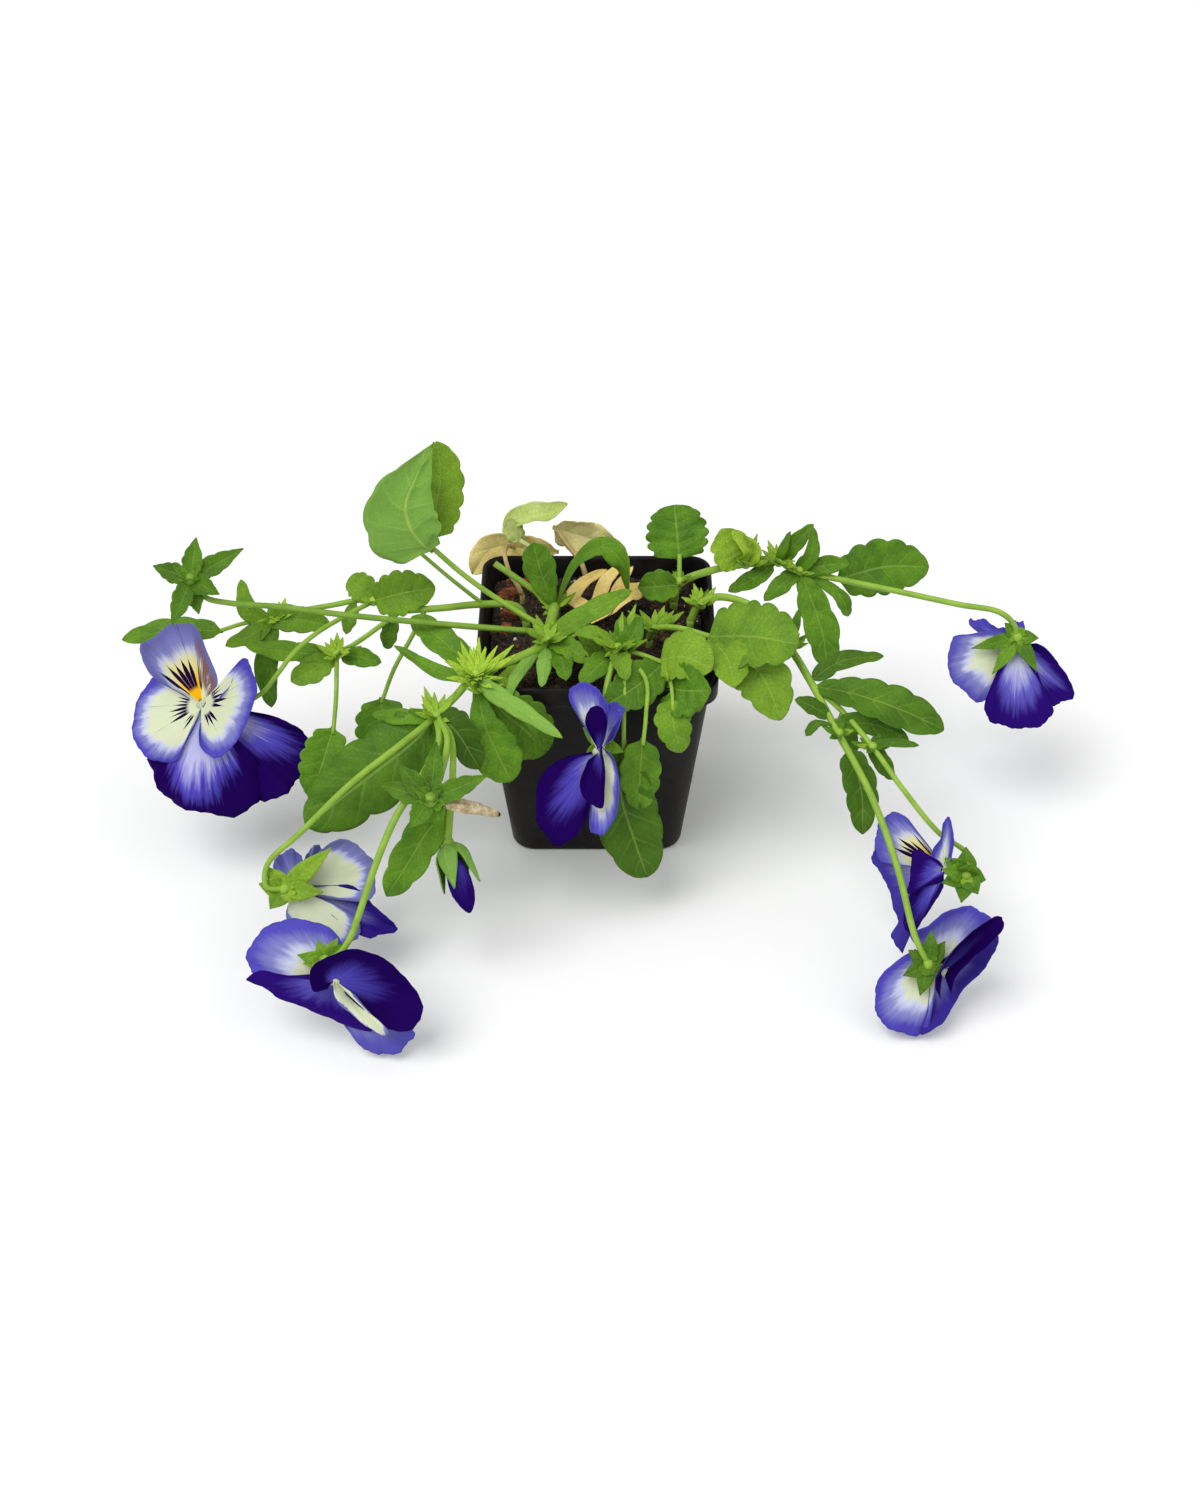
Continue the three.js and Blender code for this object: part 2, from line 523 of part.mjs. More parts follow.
// The stem that lies over the left side and ends behind bloom a.
function stemLeft() {
  const start = footTop("stem_left");
  return [
    foot("stem_left"),
    tube([start, [-31, 6, 89], [-44, 3, 92], [-59, -1, 93], [-75, 0, 91]], [1.6, 1.3]),
    tube([[-75, 0, 91], [-86, 6, 92], [-102, 5, 90], [-117, 3, 88], [-127, 1, 86]], [1.1, 0.9]),
    tube([[-74, 0, 91], [-80, -3, 88], [-89, -9, 84], [-98, -13, 80]], [1.1, 1.0]),
    tube([[-85, 5, 92], [-97, -7, 92], [-105, -15, 91], [-113, -20, 86], [-120, -22, 77],
      [-127, -22, 68], [-137, -22, 63], [-145.5, -22, 62]], [1.0, 1.0], { steps: 12 }),
    ...calyx(BLOOMS.a),
    tube([[-43, 3, 92], [-55, 4, 103], [-68, 5, 116]], [0.8, 0.7]),
    leaf([[-85, 6, 93], [-90, 9, 96], [-95, 13, 97]], 12, { up: FORWARD }),
    leaf([[-85, 4, 93], [-73, 2, 98], [-61, 4, 99]], 18, { up: FORWARD, teeth: 4 }),
    leaf([[-77, -1, 90], [-79, -3, 82], [-80, -4, 76]], 7, { up: FORWARD, teeth: 2 }),
    leaf([[-92, 5.5, 91], [-94, 0, 87], [-95, -5, 84]], 6, { up: FORWARD, teeth: 2 }),
    leaf([[-125, 1, 86], [-132, 1, 90], [-135, 8, 100]], 8, { up: FORWARD, teeth: 2 }),
    leaf([[-127, 1, 87], [-114, -1, 88], [-101, -1, 85]], 11, { up: FORWARD, teeth: 3 }),
    tube([[-126, 1, 86], [-134, -1, 86], [-143, -3, 84]], [0.9, 0.8], { steps: 3 }),
    leaf([[-142, -3, 84], [-162, -3, 84], [-181, -3, 80]], 11, { teeth: 3 }),
    leaf([[-126, 1, 86], [-129, -4, 84], [-141, -7, 80]], 9, { teeth: 2 }),
    leaf([[-99, -13, 80], [-116, -14, 82], [-132, -13, 84]], 9, { teeth: 2 }),
    leaf([[-124, 1, 86], [-124, -8, 81], [-123, -15, 68]], 8, { up: FORWARD, teeth: 2 }),
    leaf([[-122, 2, 86], [-126, -8, 74], [-125, -13, 55]], 9, { up: FORWARD, teeth: 2, peak: 0.6 }),
    leaf([[-99, -14, 80], [-105, -18, 78], [-115, -22, 74]], 11, { up: FORWARD, teeth: 3, peak: 0.55 }),
    leaf([[-97, -13, 80], [-89, -16, 81], [-81, -18, 80]], 8, { up: FORWARD, teeth: 2 }),
    tube([[-98, -14, 80], [-98, -26, 69], [-99, -35, 59]], [0.9, 0.8], { steps: 3 }),
    leaf([[-99, -33, 61], [-103, -43, 51], [-107, -52, 42]], 18, { up: FORWARD, teeth: 4 }),
    tube([[-65, -1, 92], [-70, -7, 84], [-77, -11, 72], [-82, -18, 61]], [0.9, 0.8], { steps: 4 }),
    leaf([[-82, -17, 63], [-81, -26, 53], [-78, -33, 44]], 22, { up: FORWARD, teeth: 4 }),
    ...ruff([-98, -13, 80], 5, 9, 11),
    ...ruff([-121, 2, 87], 4, 7, 12),
    ...ruff([-85, 5, 92], 3, 6, 13),
  ];
}

// The thick stem with the bright tuft, the tall leaf and the blooms b and c.
function stemFrontLeft() {
  const start = footTop("stem_front_left");
  const onB = sheet(BLOOMS.b.at);
  const onC = sheet(BLOOMS.c.at);
  const bud = vec(BUD.base);
  const budAxis = vec(BUD.tip).sub(bud).normalize();
  const budSide = new THREE.Vector3(1, 0.2, 0).cross(budAxis).normalize();
  const budSepals = [0, 1, 2, 3].map((k) => {
    const away = budSide.clone().applyAxisAngle(budAxis, (Math.PI * (k + 0.3)) / 2);
    const point = (along, out) => bud.clone().addScaledVector(budAxis, along).addScaledVector(away, out);
    return sepal([bud, point(5, BUD.radius + 1.4), point(12, BUD.radius + 1.6), point(19, BUD.radius)], 6,
      away.clone().negate());
  });
  return [
    foot("stem_front_left"),
    tube([start, [-16, 6, 89], [-17, -8, 92], [-20, -25, 93], [-33, -36, 93], [-44, -41, 91],
      [-51, -50, 88], [-58, -57, 84]], [2.1, 1.4]),
    ...ruff([-44, -41, 91], 9, 12, 21),
    ...ruff([-58, -57, 84], 6, 10, 22),
    ...ruff([-18, -22, 93], 3, 9, 23),
    // tall leaf, seen from below, its far edge rolled over
    tube([[-18, -14, 92], [-25, -14, 97], [-36, -12, 104], [-49, -10, 114], [-60, -9, 125]], [1.1, 0.9],
      { steps: 6 }),
    leaf([[-60, -9, 124], [-68, -8, 134], [-71, -5, 146], [-67, -1, 158]], 32,
      { up: [0, 0.95, 0.1], teeth: 4, halves: 2, left: -1.7, right: -0.35, notch: 0.88, fullness: 0.5 }),
    // long stalk to the spent bloom at the far left
    tube([[-19, -17, 93], [-43, -18, 96], [-65, -19, 99], [-95, -21, 104], [-116, -22, 108],
      [-134, -24, 111], [-143, -23, 113], [-148, -20, 119]], [1.2, 1.0], { steps: 9 }),
    ...spentCalyx([-148, -20, 119], 3,
      [[-146, -11, 131], [-129, -12, 127], [-137, -27, 117], [-162, -16, 122], [-154, -34, 108],
        [-145, -28, 109]]),
    // leaves of the crown
    leaf([[-18.5, -20, 92.5], [0, -16, 103], [13, -11, 108]], 9, { teeth: 2, peak: 0.4 }),
    leaf([[-16, 5, 89], [-19, 7, 97], [-22, 11, 105], [-24, 15, 112]], 13,
      { up: FORWARD, teeth: 3, peak: 0.65 }),
    leaf([[-16, 5, 89], [-7, 8, 108], [3, 6, 116], [10, 3, 110], [12, 2, 98]], 9,
      { up: [-0.6, -0.3, 0.7], teeth: 3, peak: 0.6, cup: 0.6 }),
    tube([[-16, 6, 89], [-22, 10, 92], [-39, 19, 100]], [1.3, 1.2], { steps: 3 }),
    // leaves of the tuft
    leaf([[-44, -41, 91], [-50, -30, 91], [-60, -20, 94], [-69, -12, 97]], 12, { teeth: 3, peak: 0.6 }),
    leaf([[-44, -41, 91], [-55, -38, 89], [-75, -24, 92]], 6, { teeth: 2 }),
    leaf([[-44, -41, 91], [-38, -52, 92], [-25, -62, 89], [-12, -71, 85]], 5, { teeth: 2 }),
    leaf([[-44, -41, 91], [-41, -56, 82], [-37, -61, 73], [-31, -66, 61]], 18,
      { up: FORWARD, teeth: 4, peak: 0.7 }),
    leaf([[-44, -41, 91], [-35, -50, 82], [-27, -51, 74], [-18, -51, 63]], 24,
      { up: FORWARD, teeth: 4, peak: 0.6 }),
    leaf([[-40, -45, 87], [-24, -54, 79], [-20, -56, 68]], 4, { up: FORWARD, teeth: 2 }),
    // leaves at the fork
    leaf([[-57, -57, 85], [-50, -64, 81], [-42, -69, 72]], 11, { up: FORWARD, teeth: 3 }),
    leaf([[-58, -57, 84], [-70, -56, 83], [-82, -50, 80]], 7, { teeth: 2 }),
    leaf([[-58, -57, 84], [-65, -61, 77], [-85, -70, 64], [-106, -77, 49]], 29,
      { up: BACKWARD, teeth: 4, halves: 2, peak: 0.55, fullness: 0.5, cup: 0.25 }),
    // stalks of blooms b and c
    tube([[-58, -57, 84], [-70, -71, 82], [-87, -83, 74], [-106, -89, 56], [-118, -95, 46],
      onB([-6, 1, 3]), onB([0, 0, 0])], [1.3, 1.0], { steps: 9 }),
    ...calyx(BLOOMS.b),
    tube([[-58, -57, 84], [-56, -72, 84], [-63, -90, 79], [-70, -99, 72], [-77, -111, 60],
      [-83, -122, 46], onC([7, 10, 3]), onC([4, 6, 3]), onC(BLOOMS.c.calyx)], [1.3, 1.0], { steps: 11 }),
    ...calyx(BLOOMS.c),
    // spent calyx in front, and the stalk of the bud with its leaf
    tube([[-58, -57, 84], [-53, -72, 86], [-54, -86, 83], [-58, -97, 78]], [1.2, 1.1], { steps: 5 }),
    ...spentCalyx([-58, -97, 78], 3.6,
      [[-56, -82, 92], [-69, -88, 86], [-76, -91, 80], [-38, -91, 84], [-65, -104, 71], [-54, -101, 70]]),
    tube([[-58, -57, 84], [-52, -68, 83], [-51, -81, 76], [-52, -89, 64], BUD.base], [1.2, 1.3],
      { steps: 7 }),
    leaf([[-52, -87, 66], [-60, -90, 58], [-68, -98, 48], [-75, -104, 39]], 15,
      { up: FORWARD, teeth: 3, peak: 0.5 }),
    knob(BUD.base, 2.2),
    ...budSepals,
  ];
}

// The short stem in the middle with a rosette of stipules and the edge-on bloom d.
function stemCentre() {
  const start = footTop("stem_centre");
  return [
    foot("stem_centre"),
    tube([start, [2, -25, 88], [8, -28, 94]], [1.7, 1.4]),
    ...ruff([8, -28, 94], 7, 9, 31),
    ...ruff([2, -25, 88], 5, 12, 32),
    tube([[8, -28, 93], [16, -31, 93], [25, -34, 91]], [1.0, 0.9], { steps: 3 }),
    leaf([[23, -33, 92], [31, -38, 94], [40, -43, 92]], 19, { teeth: 4 }),
    leaf([[24, -35, 91], [14, -45, 89], [3, -51, 87]], 10, { teeth: 3 }),
    tube([[24, -34, 91], [27, -44, 90], [28, -52, 82]], [0.8, 0.7], { steps: 3 }),
    leaf([[27, -49, 86], [28, -54, 79], [31, -56, 70]], 11, { up: FORWARD, teeth: 3 }),
    tube([[8, -29, 93], [18, -44, 91], [18, -53, 82], [17, -57, 71]], [0.9, 0.8], { steps: 4 }),
    leaf([[17, -56, 73], [16, -60, 59], [16, -64, 46]], 16, { up: FORWARD, teeth: 3 }),
    tube([[8, -29, 93], [10, -44, 91], [10, -52, 80], [10, -54, 66]], [0.9, 0.8], { steps: 4 }),
    leaf([[10, -53, 70], [9, -61, 52], [14, -68, 35], [19, -72, 20]], 26,
      { up: FORWARD, teeth: 4, halves: 2, peak: 0.45, fullness: 0.5 }),
    leaf([[8, -28, 93], [13, -28, 99], [16, -23, 104]], 8, { up: FORWARD, teeth: 2 }),
    leaf([[8, -28, 94], [9, -22, 99], [10, -19, 102]], 5, { up: FORWARD, teeth: 2 }),
    tube([[8, -28, 93], [6, -38, 94], [4, -46, 91], [3, -51, 86], [2, -55, 79],
      sheet(BLOOMS.d.at)(BLOOMS.d.calyx)], [1.1, 1.0], { steps: 8 }),
    ...calyx(BLOOMS.d),
  ];
}

// One long-stalked group of broad leaves over the front right corner of the pot.
function leafRightInner() {
  const start = footTop("leaf_right_inner");
  return [
    foot("leaf_right_inner"),
    tube([start, [22, -9, 89], [30, -14, 93], [42, -21, 94]], [1.4, 1.1]),
    leaf([[41, -21, 94], [57, -28, 99], [74, -33, 99]], 29,
      { teeth: 4, halves: 2, fullness: 0.45, cup: 0.25 }),
    leaf([[42, -21, 94], [48, -35, 94], [50, -47, 90]], 17, { teeth: 4 }),
    leaf([[42, -21, 94], [60, -36, 88], [68, -46, 74]], 22, { up: FORWARD, teeth: 4 }),
  ];
}

// The stem that leaves to the right behind the pot and carries bloom e.
function stemRightBack() {
  const start = footTop("stem_right_back");
  return [
    foot("stem_right_back"),
    tube([start, [32, 20, 90], [45, 25, 93], [58, 29, 93], [71, 32, 92], [79, 29, 90]], [1.7, 1.3]),
    tube([[79, 29, 90], [93, 25, 89], [117, 19, 87], [140, 13, 85], [155, 11, 83], [161, 10, 78],
      BLOOMS.e.at], [1.2, 1.0], { steps: 11 }),
    ...calyx(BLOOMS.e),
    tube([[32, 20, 90], [32, 24, 95], [32, 27, 99]], [1.0, 0.9], { steps: 2 }),
    leaf([[32, 26, 97], [31, 32, 106], [30, 39, 114]], 25,
      { up: FORWARD, teeth: 4, halves: 2, fullness: 0.42, cup: 0.25 }),
    leaf([[32, 20, 91], [27, 13, 94], [16, 10, 95]], 13, { up: FORWARD, teeth: 3, peak: 0.65 }),
    leaf([[56, 28, 93], [53, 27, 99], [48, 29, 109]], 19, { up: FORWARD, teeth: 4, cup: 0.8, peak: 0.6 }),
    leaf([[58, 29, 93], [60, 28, 99], [52, 26, 110]], 8, { up: FORWARD, teeth: 2 }),
    leaf([[71, 32, 92], [72, 31, 98], [75, 34, 105]], 4, { up: FORWARD, teeth: 2 }),
    leaf([[72, 32, 92], [77, 33, 100], [84, 36, 107]], 7, { up: FORWARD, teeth: 2 }),
    leaf([[78, 30, 90], [83, 29, 97], [84, 35, 106]], 7, { up: FORWARD, teeth: 2, cup: 1.0 }),
    leaf([[69, 31, 92], [60, 24, 89], [51, 18, 88]], 8, { teeth: 2 }),
    leaf([[78, 29, 90], [72, 24, 87], [65, 19, 83]], 8, { teeth: 2 }),
    tube([[79, 29, 90], [88, 31, 87], [96, 32, 84]], [1.0, 0.9], { steps: 3 }),
    leaf([[94, 32, 84], [113, 35, 88], [131, 38, 86]], 23, { up: FORWARD, teeth: 4, halves: 2, cup: 0.25 }),
    leaf([[79, 29, 90], [89, 27, 94], [98, 27, 95]], 8, { up: FORWARD, teeth: 2 }),
    leaf([[79, 29, 90], [83, 22, 83], [88, 13, 71], [90, 6, 60]], 14, { up: FORWARD, teeth: 3, peak: 0.6 }),
    leaf([[80, 29, 90], [95, 21, 83], [98, 18, 76]], 6, { up: FORWARD, teeth: 2, peak: 0.6 }),
    ...ruff([71, 32, 92], 4, 7, 41),
    ...ruff([79, 29, 90], 4, 7, 42),
  ];
}

// The stem that hangs down at the front right with the blooms f and g.
function stemRightFront() {
  const start = footTop("stem_right_front");
  const onF = sheet(BLOOMS.f.at);
  const onG = sheet(BLOOMS.g.at);
  return [
    foot("stem_right_front"),
    tube([start, [39, 7, 89], [46, 8, 92], [59, 5, 90], [72, -18, 87], [79, -36, 84], [87, -57, 78],
      [98, -78, 66], [107, -98, 49], onG([-5, 9, 2.5]), onG(BLOOMS.g.calyx)], [1.6, 1.0]),
    ...calyx(BLOOMS.g),
    tube([[79, -37, 84], [90, -49, 80], [100, -62, 74], [110, -76, 66], [123, -85, 53], onF([6, 6, -3]),
      onF(BLOOMS.f.calyx)], [1.1, 1.0], { steps: 10 }),
    ...calyx(BLOOMS.f),
    leaf([[79, -35, 84], [90, -30, 89], [106, -29, 91]], 8, { teeth: 2, notch: 0.6 }),
    leaf([[72, -19, 87], [74, -14, 93], [76, -10, 99]], 4, { up: FORWARD, teeth: 2 }),
    leaf([[85, -52, 80], [78, -52, 85], [72, -52, 88]], 7, { teeth: 2 }),
    leaf([[79, -38, 84], [94, -46, 86], [110, -51, 83], [127, -53, 75]], 17, { teeth: 4, peak: 0.6 }),
    leaf([[87, -56, 79], [92, -52, 73], [96, -52, 64]], 6, { up: FORWARD, teeth: 2 }),
    leaf([[86, -54, 79], [102, -53, 77], [114, -56, 72]], 9, { up: FORWARD, teeth: 2 }),
    leaf([[91, -64, 75], [96, -71, 61], [97, -78, 46]], 13, { up: FORWARD, teeth: 3 }),
    leaf([[99, -61, 75], [104, -64, 68], [108, -66, 62]], 7, { up: FORWARD, teeth: 2 }),
    leaf([[99, -61, 75], [108, -62, 76], [117, -61, 74]], 4, { teeth: 2 }),
    leaf([[87, -56, 79], [80, -56, 80], [76, -58, 76]], 4, { teeth: 2, peak: 0.7 }),
    ...ruff([72, -18, 87], 5, 7, 51),
    ...ruff([88, -58, 77], 4, 7, 52),
    ...ruff([100, -62, 74], 4, 7, 53),
  ];
}

// A pale leaf at the back whose blade has curled into a channel.
function curledLeafRear() {
  return [
    foot("curled_leaf_rear"),
    tube([footTop("curled_leaf_rear"), [-19, 32, 90], [-24, 35, 96], [-31, 38, 100]], [1.1, 0.9]),
    leaf([[-30, 38, 99], [-33, 41, 106], [-26, 43, 110], [-13, 43, 109]], 10,
      { up: [-0.4, -0.4, 0.8], teeth: 3, cup: 0.9 }),
  ];
}

// ---- dead leaves ------------------------------------------------------------------------

function deadLeafRearLeft() {
  return [
    foot("dead_leaf_rear_left"),
    tube([footTop("dead_leaf_rear_left"), [-31, 24, 87], [-35, 28, 90]], [1.0, 0.9]),
    leaf([[-33, 26, 89], [-42, 35, 93], [-51, 43, 94]], 15, { teeth: 3, cup: 0.5 }),
  ];
}

function deadLeafRear() {
  return [
    foot("dead_leaf_rear"),
    tube([footTop("dead_leaf_rear"), [-6, 36, 88], [-12, 41, 93]], [1.0, 0.9]),
    leaf([[-13, 41, 93], [0, 45, 98], [13, 45, 96]], 12, { up: FORWARD, teeth: 3, cup: 0.5 }),
  ];
}

function deadLeafCentre() {
  return [
    foot("dead_leaf_centre"),
    leaf([footTop("dead_leaf_centre"), [2, 9, 88], [14, 20, 93]], 5, { teeth: 2, cup: 0.6 }),
    leaf([footTop("dead_leaf_centre"), [4, 5, 87], [8, 14, 92]], 4, { teeth: 2, cup: 0.6 }),
  ];
}

// ---- pot, soil and bark -----------------------------------------------------------------

function roundedSquare(width, corner, z) {
  const half = width / 2 - corner;
  const ring = [];
  for (const [sx, sy, start] of [[1, 1, 0], [-1, 1, 90], [-1, -1, 180], [1, -1, 270]]) {
    for (let k = 0; k <= 3; k += 1) {
      const angle = THREE.MathUtils.degToRad(start + (90 * k) / 3);
      ring.push(new THREE.Vector3(
        sx * half + corner * Math.cos(angle), sy * half + corner * Math.sin(angle), z,
      ));
    }
  }
  return ring;
}

// Width of the outside of the wall, without the band, at a height.
function wallWidth(z) {
  const under = POT_TOP - 2 * LIP_STEP;
  return POT_BASE + ((under - POT_BASE) * z) / POT_HEIGHT;
}

function cornerAt(z) {
  return CORNER_BASE + ((CORNER_TOP - CORNER_BASE) * z) / POT_HEIGHT;
}

function pot() {
  const band = POT_HEIGHT - LIP_HEIGHT;
  const outside = loft([
    roundedSquare(POT_BASE - 2, CORNER_BASE - 1, 0),
    roundedSquare(wallWidth(1), CORNER_BASE, 1),
    roundedSquare(wallWidth(band), cornerAt(band), band),
    roundedSquare(POT_TOP - 0.6, CORNER_TOP + 1.4, band + 0.8),
    roundedSquare(POT_TOP, CORNER_TOP + 1.6, POT_HEIGHT - 1),
    roundedSquare(POT_TOP - 1.6, CORNER_TOP + 0.8, POT_HEIGHT),
  ]);
  const inset = 2 * POT_WALL;
  const inside = loft([
    roundedSquare(wallWidth(POT_FLOOR) - inset, cornerAt(0) - POT_WALL, POT_FLOOR),
    roundedSquare(wallWidth(band) - inset, cornerAt(band) - POT_WALL, band),
    roundedSquare(wallWidth(POT_HEIGHT) - inset + 1, cornerAt(band) - POT_WALL + 0.5, POT_HEIGHT + 1),
  ]);
  const drains = [];
  const reach = POT_BASE / 2 - 11;
  for (const [sx, sy] of [[1, 1], [-1, 1], [-1, -1], [1, -1]]) {
    drains.push(post([sx * reach, sy * reach], -2, 4, DRAIN_CORNER, 10));
  }
  for (const [sx, sy] of [[1, 0], [0, 1], [-1, 0], [0, -1]]) {
    drains.push(post([sx * (reach + 3), sy * (reach + 3)], -2, 4, DRAIN_SIDE, 8));
  }
  return outside.subtract(inside).subtract(Manifold.union(drains));
}

const BARK = [
  { at: [-35, 27, SOIL_TOP + 1.2], size: [9, 5, 3], turn: 35 },
  { at: [-33, 14, SOIL_TOP + 1.2], size: [8, 4, 3], turn: -20 },
  { at: [-27, 35, SOIL_TOP + 1.2], size: [10, 5, 3], turn: 10 },
  { at: [-35, 4, SOIL_TOP + 1.0], size: [6, 4, 2.5], turn: 70 },
  { at: [26, 12, SOIL_TOP + 1.2], size: [10, 4, 3], turn: -40 },
];

function barkChip(index, grow = 0) {
  const random = seeded(70 + index);
  const { at, size, turn } = BARK[index];
  const tilt = new THREE.Euler(...[4, -6, turn].map(THREE.MathUtils.degToRad), "ZYX");
  return loft([-1, 1].map((z) => [[-1, -1], [1, -1], [1, 1], [-1, 1]].map(([x, y]) => {
    const taper = 0.75 + 0.25 * random();
    const corner = new THREE.Vector3(x * size[0], y * size[1], z * size[2]).multiplyScalar(taper / 2);
    corner.add(new THREE.Vector3(x, y, z).multiplyScalar(grow));
    return corner.applyEuler(tilt).add(vec(at));
  })));
}

function pottingSoil() {
  const random = seeded(5);
  const cells = 9;
  const reach = POT_TOP / 2;
  const top = [];
  const bottom = [];
  for (let j = 0; j <= cells; j += 1) {
    for (let i = 0; i <= cells; i += 1) {
      const x = -reach + (2 * reach * i) / cells;
      const y = -reach + (2 * reach * j) / cells;
      const dome = 1 - (x * x + y * y) / (2 * reach * reach);
      top.push(new THREE.Vector3(x, y, SOIL_TOP - 0.8 + dome + SOIL_LUMP * (random() - 0.5)));
      bottom.push(new THREE.Vector3(x, y, -1));
    }
  }
  const n = cells + 1;
  const total = top.length;
  const triangles = [];
  for (let j = 0; j < cells; j += 1) {
    for (let i = 0; i < cells; i += 1) {
      const a = j * n + i;
      triangles.push([a, a + 1, a + n + 1], [a, a + n + 1, a + n]);
      const b = total + a;
      triangles.push([b, b + n + 1, b + 1], [b, b + n, b + n + 1]);
    }
  }
  for (let k = 0; k < cells; k += 1) {
    const sides = [[k + 1, k], [cells * n + k, cells * n + k + 1], [k * n, (k + 1) * n],
      [(k + 1) * n + cells, k * n + cells]];
    for (const [a, b] of sides) {
      triangles.push([a, b, total + b], [a, total + b, total + a]);
    }
  }
  const inset = 2 * (POT_WALL + GAP);
  const filling = loft([
    roundedSquare(wallWidth(POT_FLOOR) - inset, cornerAt(0) - POT_WALL, POT_FLOOR + GAP),
    roundedSquare(wallWidth(SOIL_TOP + 3) - inset, cornerAt(SOIL_TOP) - POT_WALL, SOIL_TOP + 3),
  ]);
  const bottomOfHoles = SOIL_TOP - ROOT_DEPTH - GAP;
  const holes = Object.values(FEET)
    .map(({ at, radius }) => post(at, bottomOfHoles, SOIL_TOP + 9, radius + 2 * GAP, 8));
  const sockets = BARK.map((_, i) => barkChip(i, 1.4 * GAP));
  return solid([...top, ...bottom], triangles).intersect(filling)
    .subtract(Manifold.union([...holes, ...sockets]));
}

// ---- bud and its dried neighbour ----------------------------------------------------------

function budPetals() {
  const base = vec(BUD.base);
  const axis = vec(BUD.tip).sub(base).normalize();
  return [spindle(base.addScaledVector(axis, 4), BUD.tip, BUD.radius)];
}

function driedBud() {
  const path = [[-52.8, -96.4, 75.2], [-45, -95, 73], [-38, -93, 69], [-34, -92, 67]];
  return [tube(path, [1.8, 1.0], { sides: 7 })];
}

// ---- assembly -----------------------------------------------------------------------------

const LOOKS = {
  pot: { color: 0x232020, roughness: 0.5 },
  soil: { color: 0x2a211a, roughness: 0.95 },
  bark: { color: 0x6b3a22, roughness: 0.9 },
  green: { color: 0x5f9a2c, roughness: 0.55 },
  paleGreen: { color: 0xb9cf6a, roughness: 0.6 },
  dead: { color: 0xcdb86a, roughness: 0.8 },
  tan: { color: 0xb79a6a, roughness: 0.8 },
  violet: { color: 0x3a1c96, roughness: 0.6 },
};

// Corners that fused pieces left touching are drawn apart, each towards its own neighbours.
function drawApart(positions, triangles) {
  const points = [];
  for (let i = 0; i < positions.length; i += 3) {
    points.push(new THREE.Vector3(positions[i], positions[i + 1], positions[i + 2]));
  }
  const around = points.map(() => new Set());
  for (let t = 0; t < triangles.length; t += 3) {
    const [a, b, c] = triangles.subarray(t, t + 3);
    around[a].add(b).add(c);
    around[b].add(a).add(c);
    around[c].add(a).add(b);
  }
  for (let round = 0; round < 6; round += 1) {
    const touching = new Set();
    points.forEach((p, i) => {
      for (let j = i + 1; j < points.length; j += 1) {
        if (Math.abs(p.x - points[j].x) < TOUCH && p.distanceTo(points[j]) < TOUCH) {
          touching.add(i).add(j);
        }
      }
    });
    for (const i of touching) {
      const middle = new THREE.Vector3();
      around[i].forEach((j) => middle.addScaledVector(points[j], 1 / around[i].size));
      points[i].add(middle.sub(points[i]).setLength(4 * TOUCH));
    }
    if (touching.size === 0) {
      break;
    }
  }
  return new Float32Array(points.flatMap((p) => p.toArray()));
}

function toMesh(name, shape, look) {
  const { vertProperties, triVerts } = shape.getMesh();
  const geometry = new THREE.BufferGeometry();
  geometry.setAttribute("position", new THREE.BufferAttribute(drawApart(vertProperties, triVerts), 3));
  geometry.setIndex(new THREE.BufferAttribute(new Uint32Array(triVerts), 1));
  geometry.computeVertexNormals();
  const material = new THREE.MeshStandardMaterial({ ...LOOKS[look], metalness: 0 });
  const mesh = new THREE.Mesh(geometry, material);
  mesh.name = name;
  return mesh;
}

const planter = new THREE.Group();
planter.name = "potted_pansy_planter";

function add(name, pieces, look) {
  const plant = Array.isArray(pieces);
  const shape = (plant ? Manifold.union(pieces) : pieces).asOriginal().simplify(plant ? EVEN_OUT : 0.02);
  const bodies = shape.decompose().filter((body) => body.volume() > 1);
  planter.add(toMesh(name, Manifold.union(bodies), look));
}

add("pot", pot(), "pot");
add("potting_soil", pottingSoil(), "soil");
BARK.forEach((_, i) => add(`bark_chip_${i + 1}`, barkChip(i), "bark"));
add("stem_left", stemLeft(), "green");
add("stem_front_left", stemFrontLeft(), "green");
add("stem_centre", stemCentre(), "green");
add("leaf_right_inner", leafRightInner(), "green");
add("stem_right_back", stemRightBack(), "green");
add("stem_right_front", stemRightFront(), "green");
add("curled_leaf_rear", curledLeafRear(), "paleGreen");
add("dead_leaf_rear_left", deadLeafRearLeft(), "dead");
add("dead_leaf_rear", deadLeafRear(), "dead");
add("dead_leaf_centre", deadLeafCentre(), "dead");
add("bud_petals", budPetals(), "violet");
add("dried_bud", driedBud(), "tan");
for (const [letter, bloom] of Object.entries(BLOOMS)) {
  add(`bloom_${letter}`, corolla(bloom), "violet");
}

export default planter;
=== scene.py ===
# A pansy in a square nursery pot: the pot, its soil and bark, the leafy stems that hang
# over the rim, and the seven two-tone blooms, a bud and the spent flowers that they carry.
# The tables are in millimetres; every mesh is made in metres.

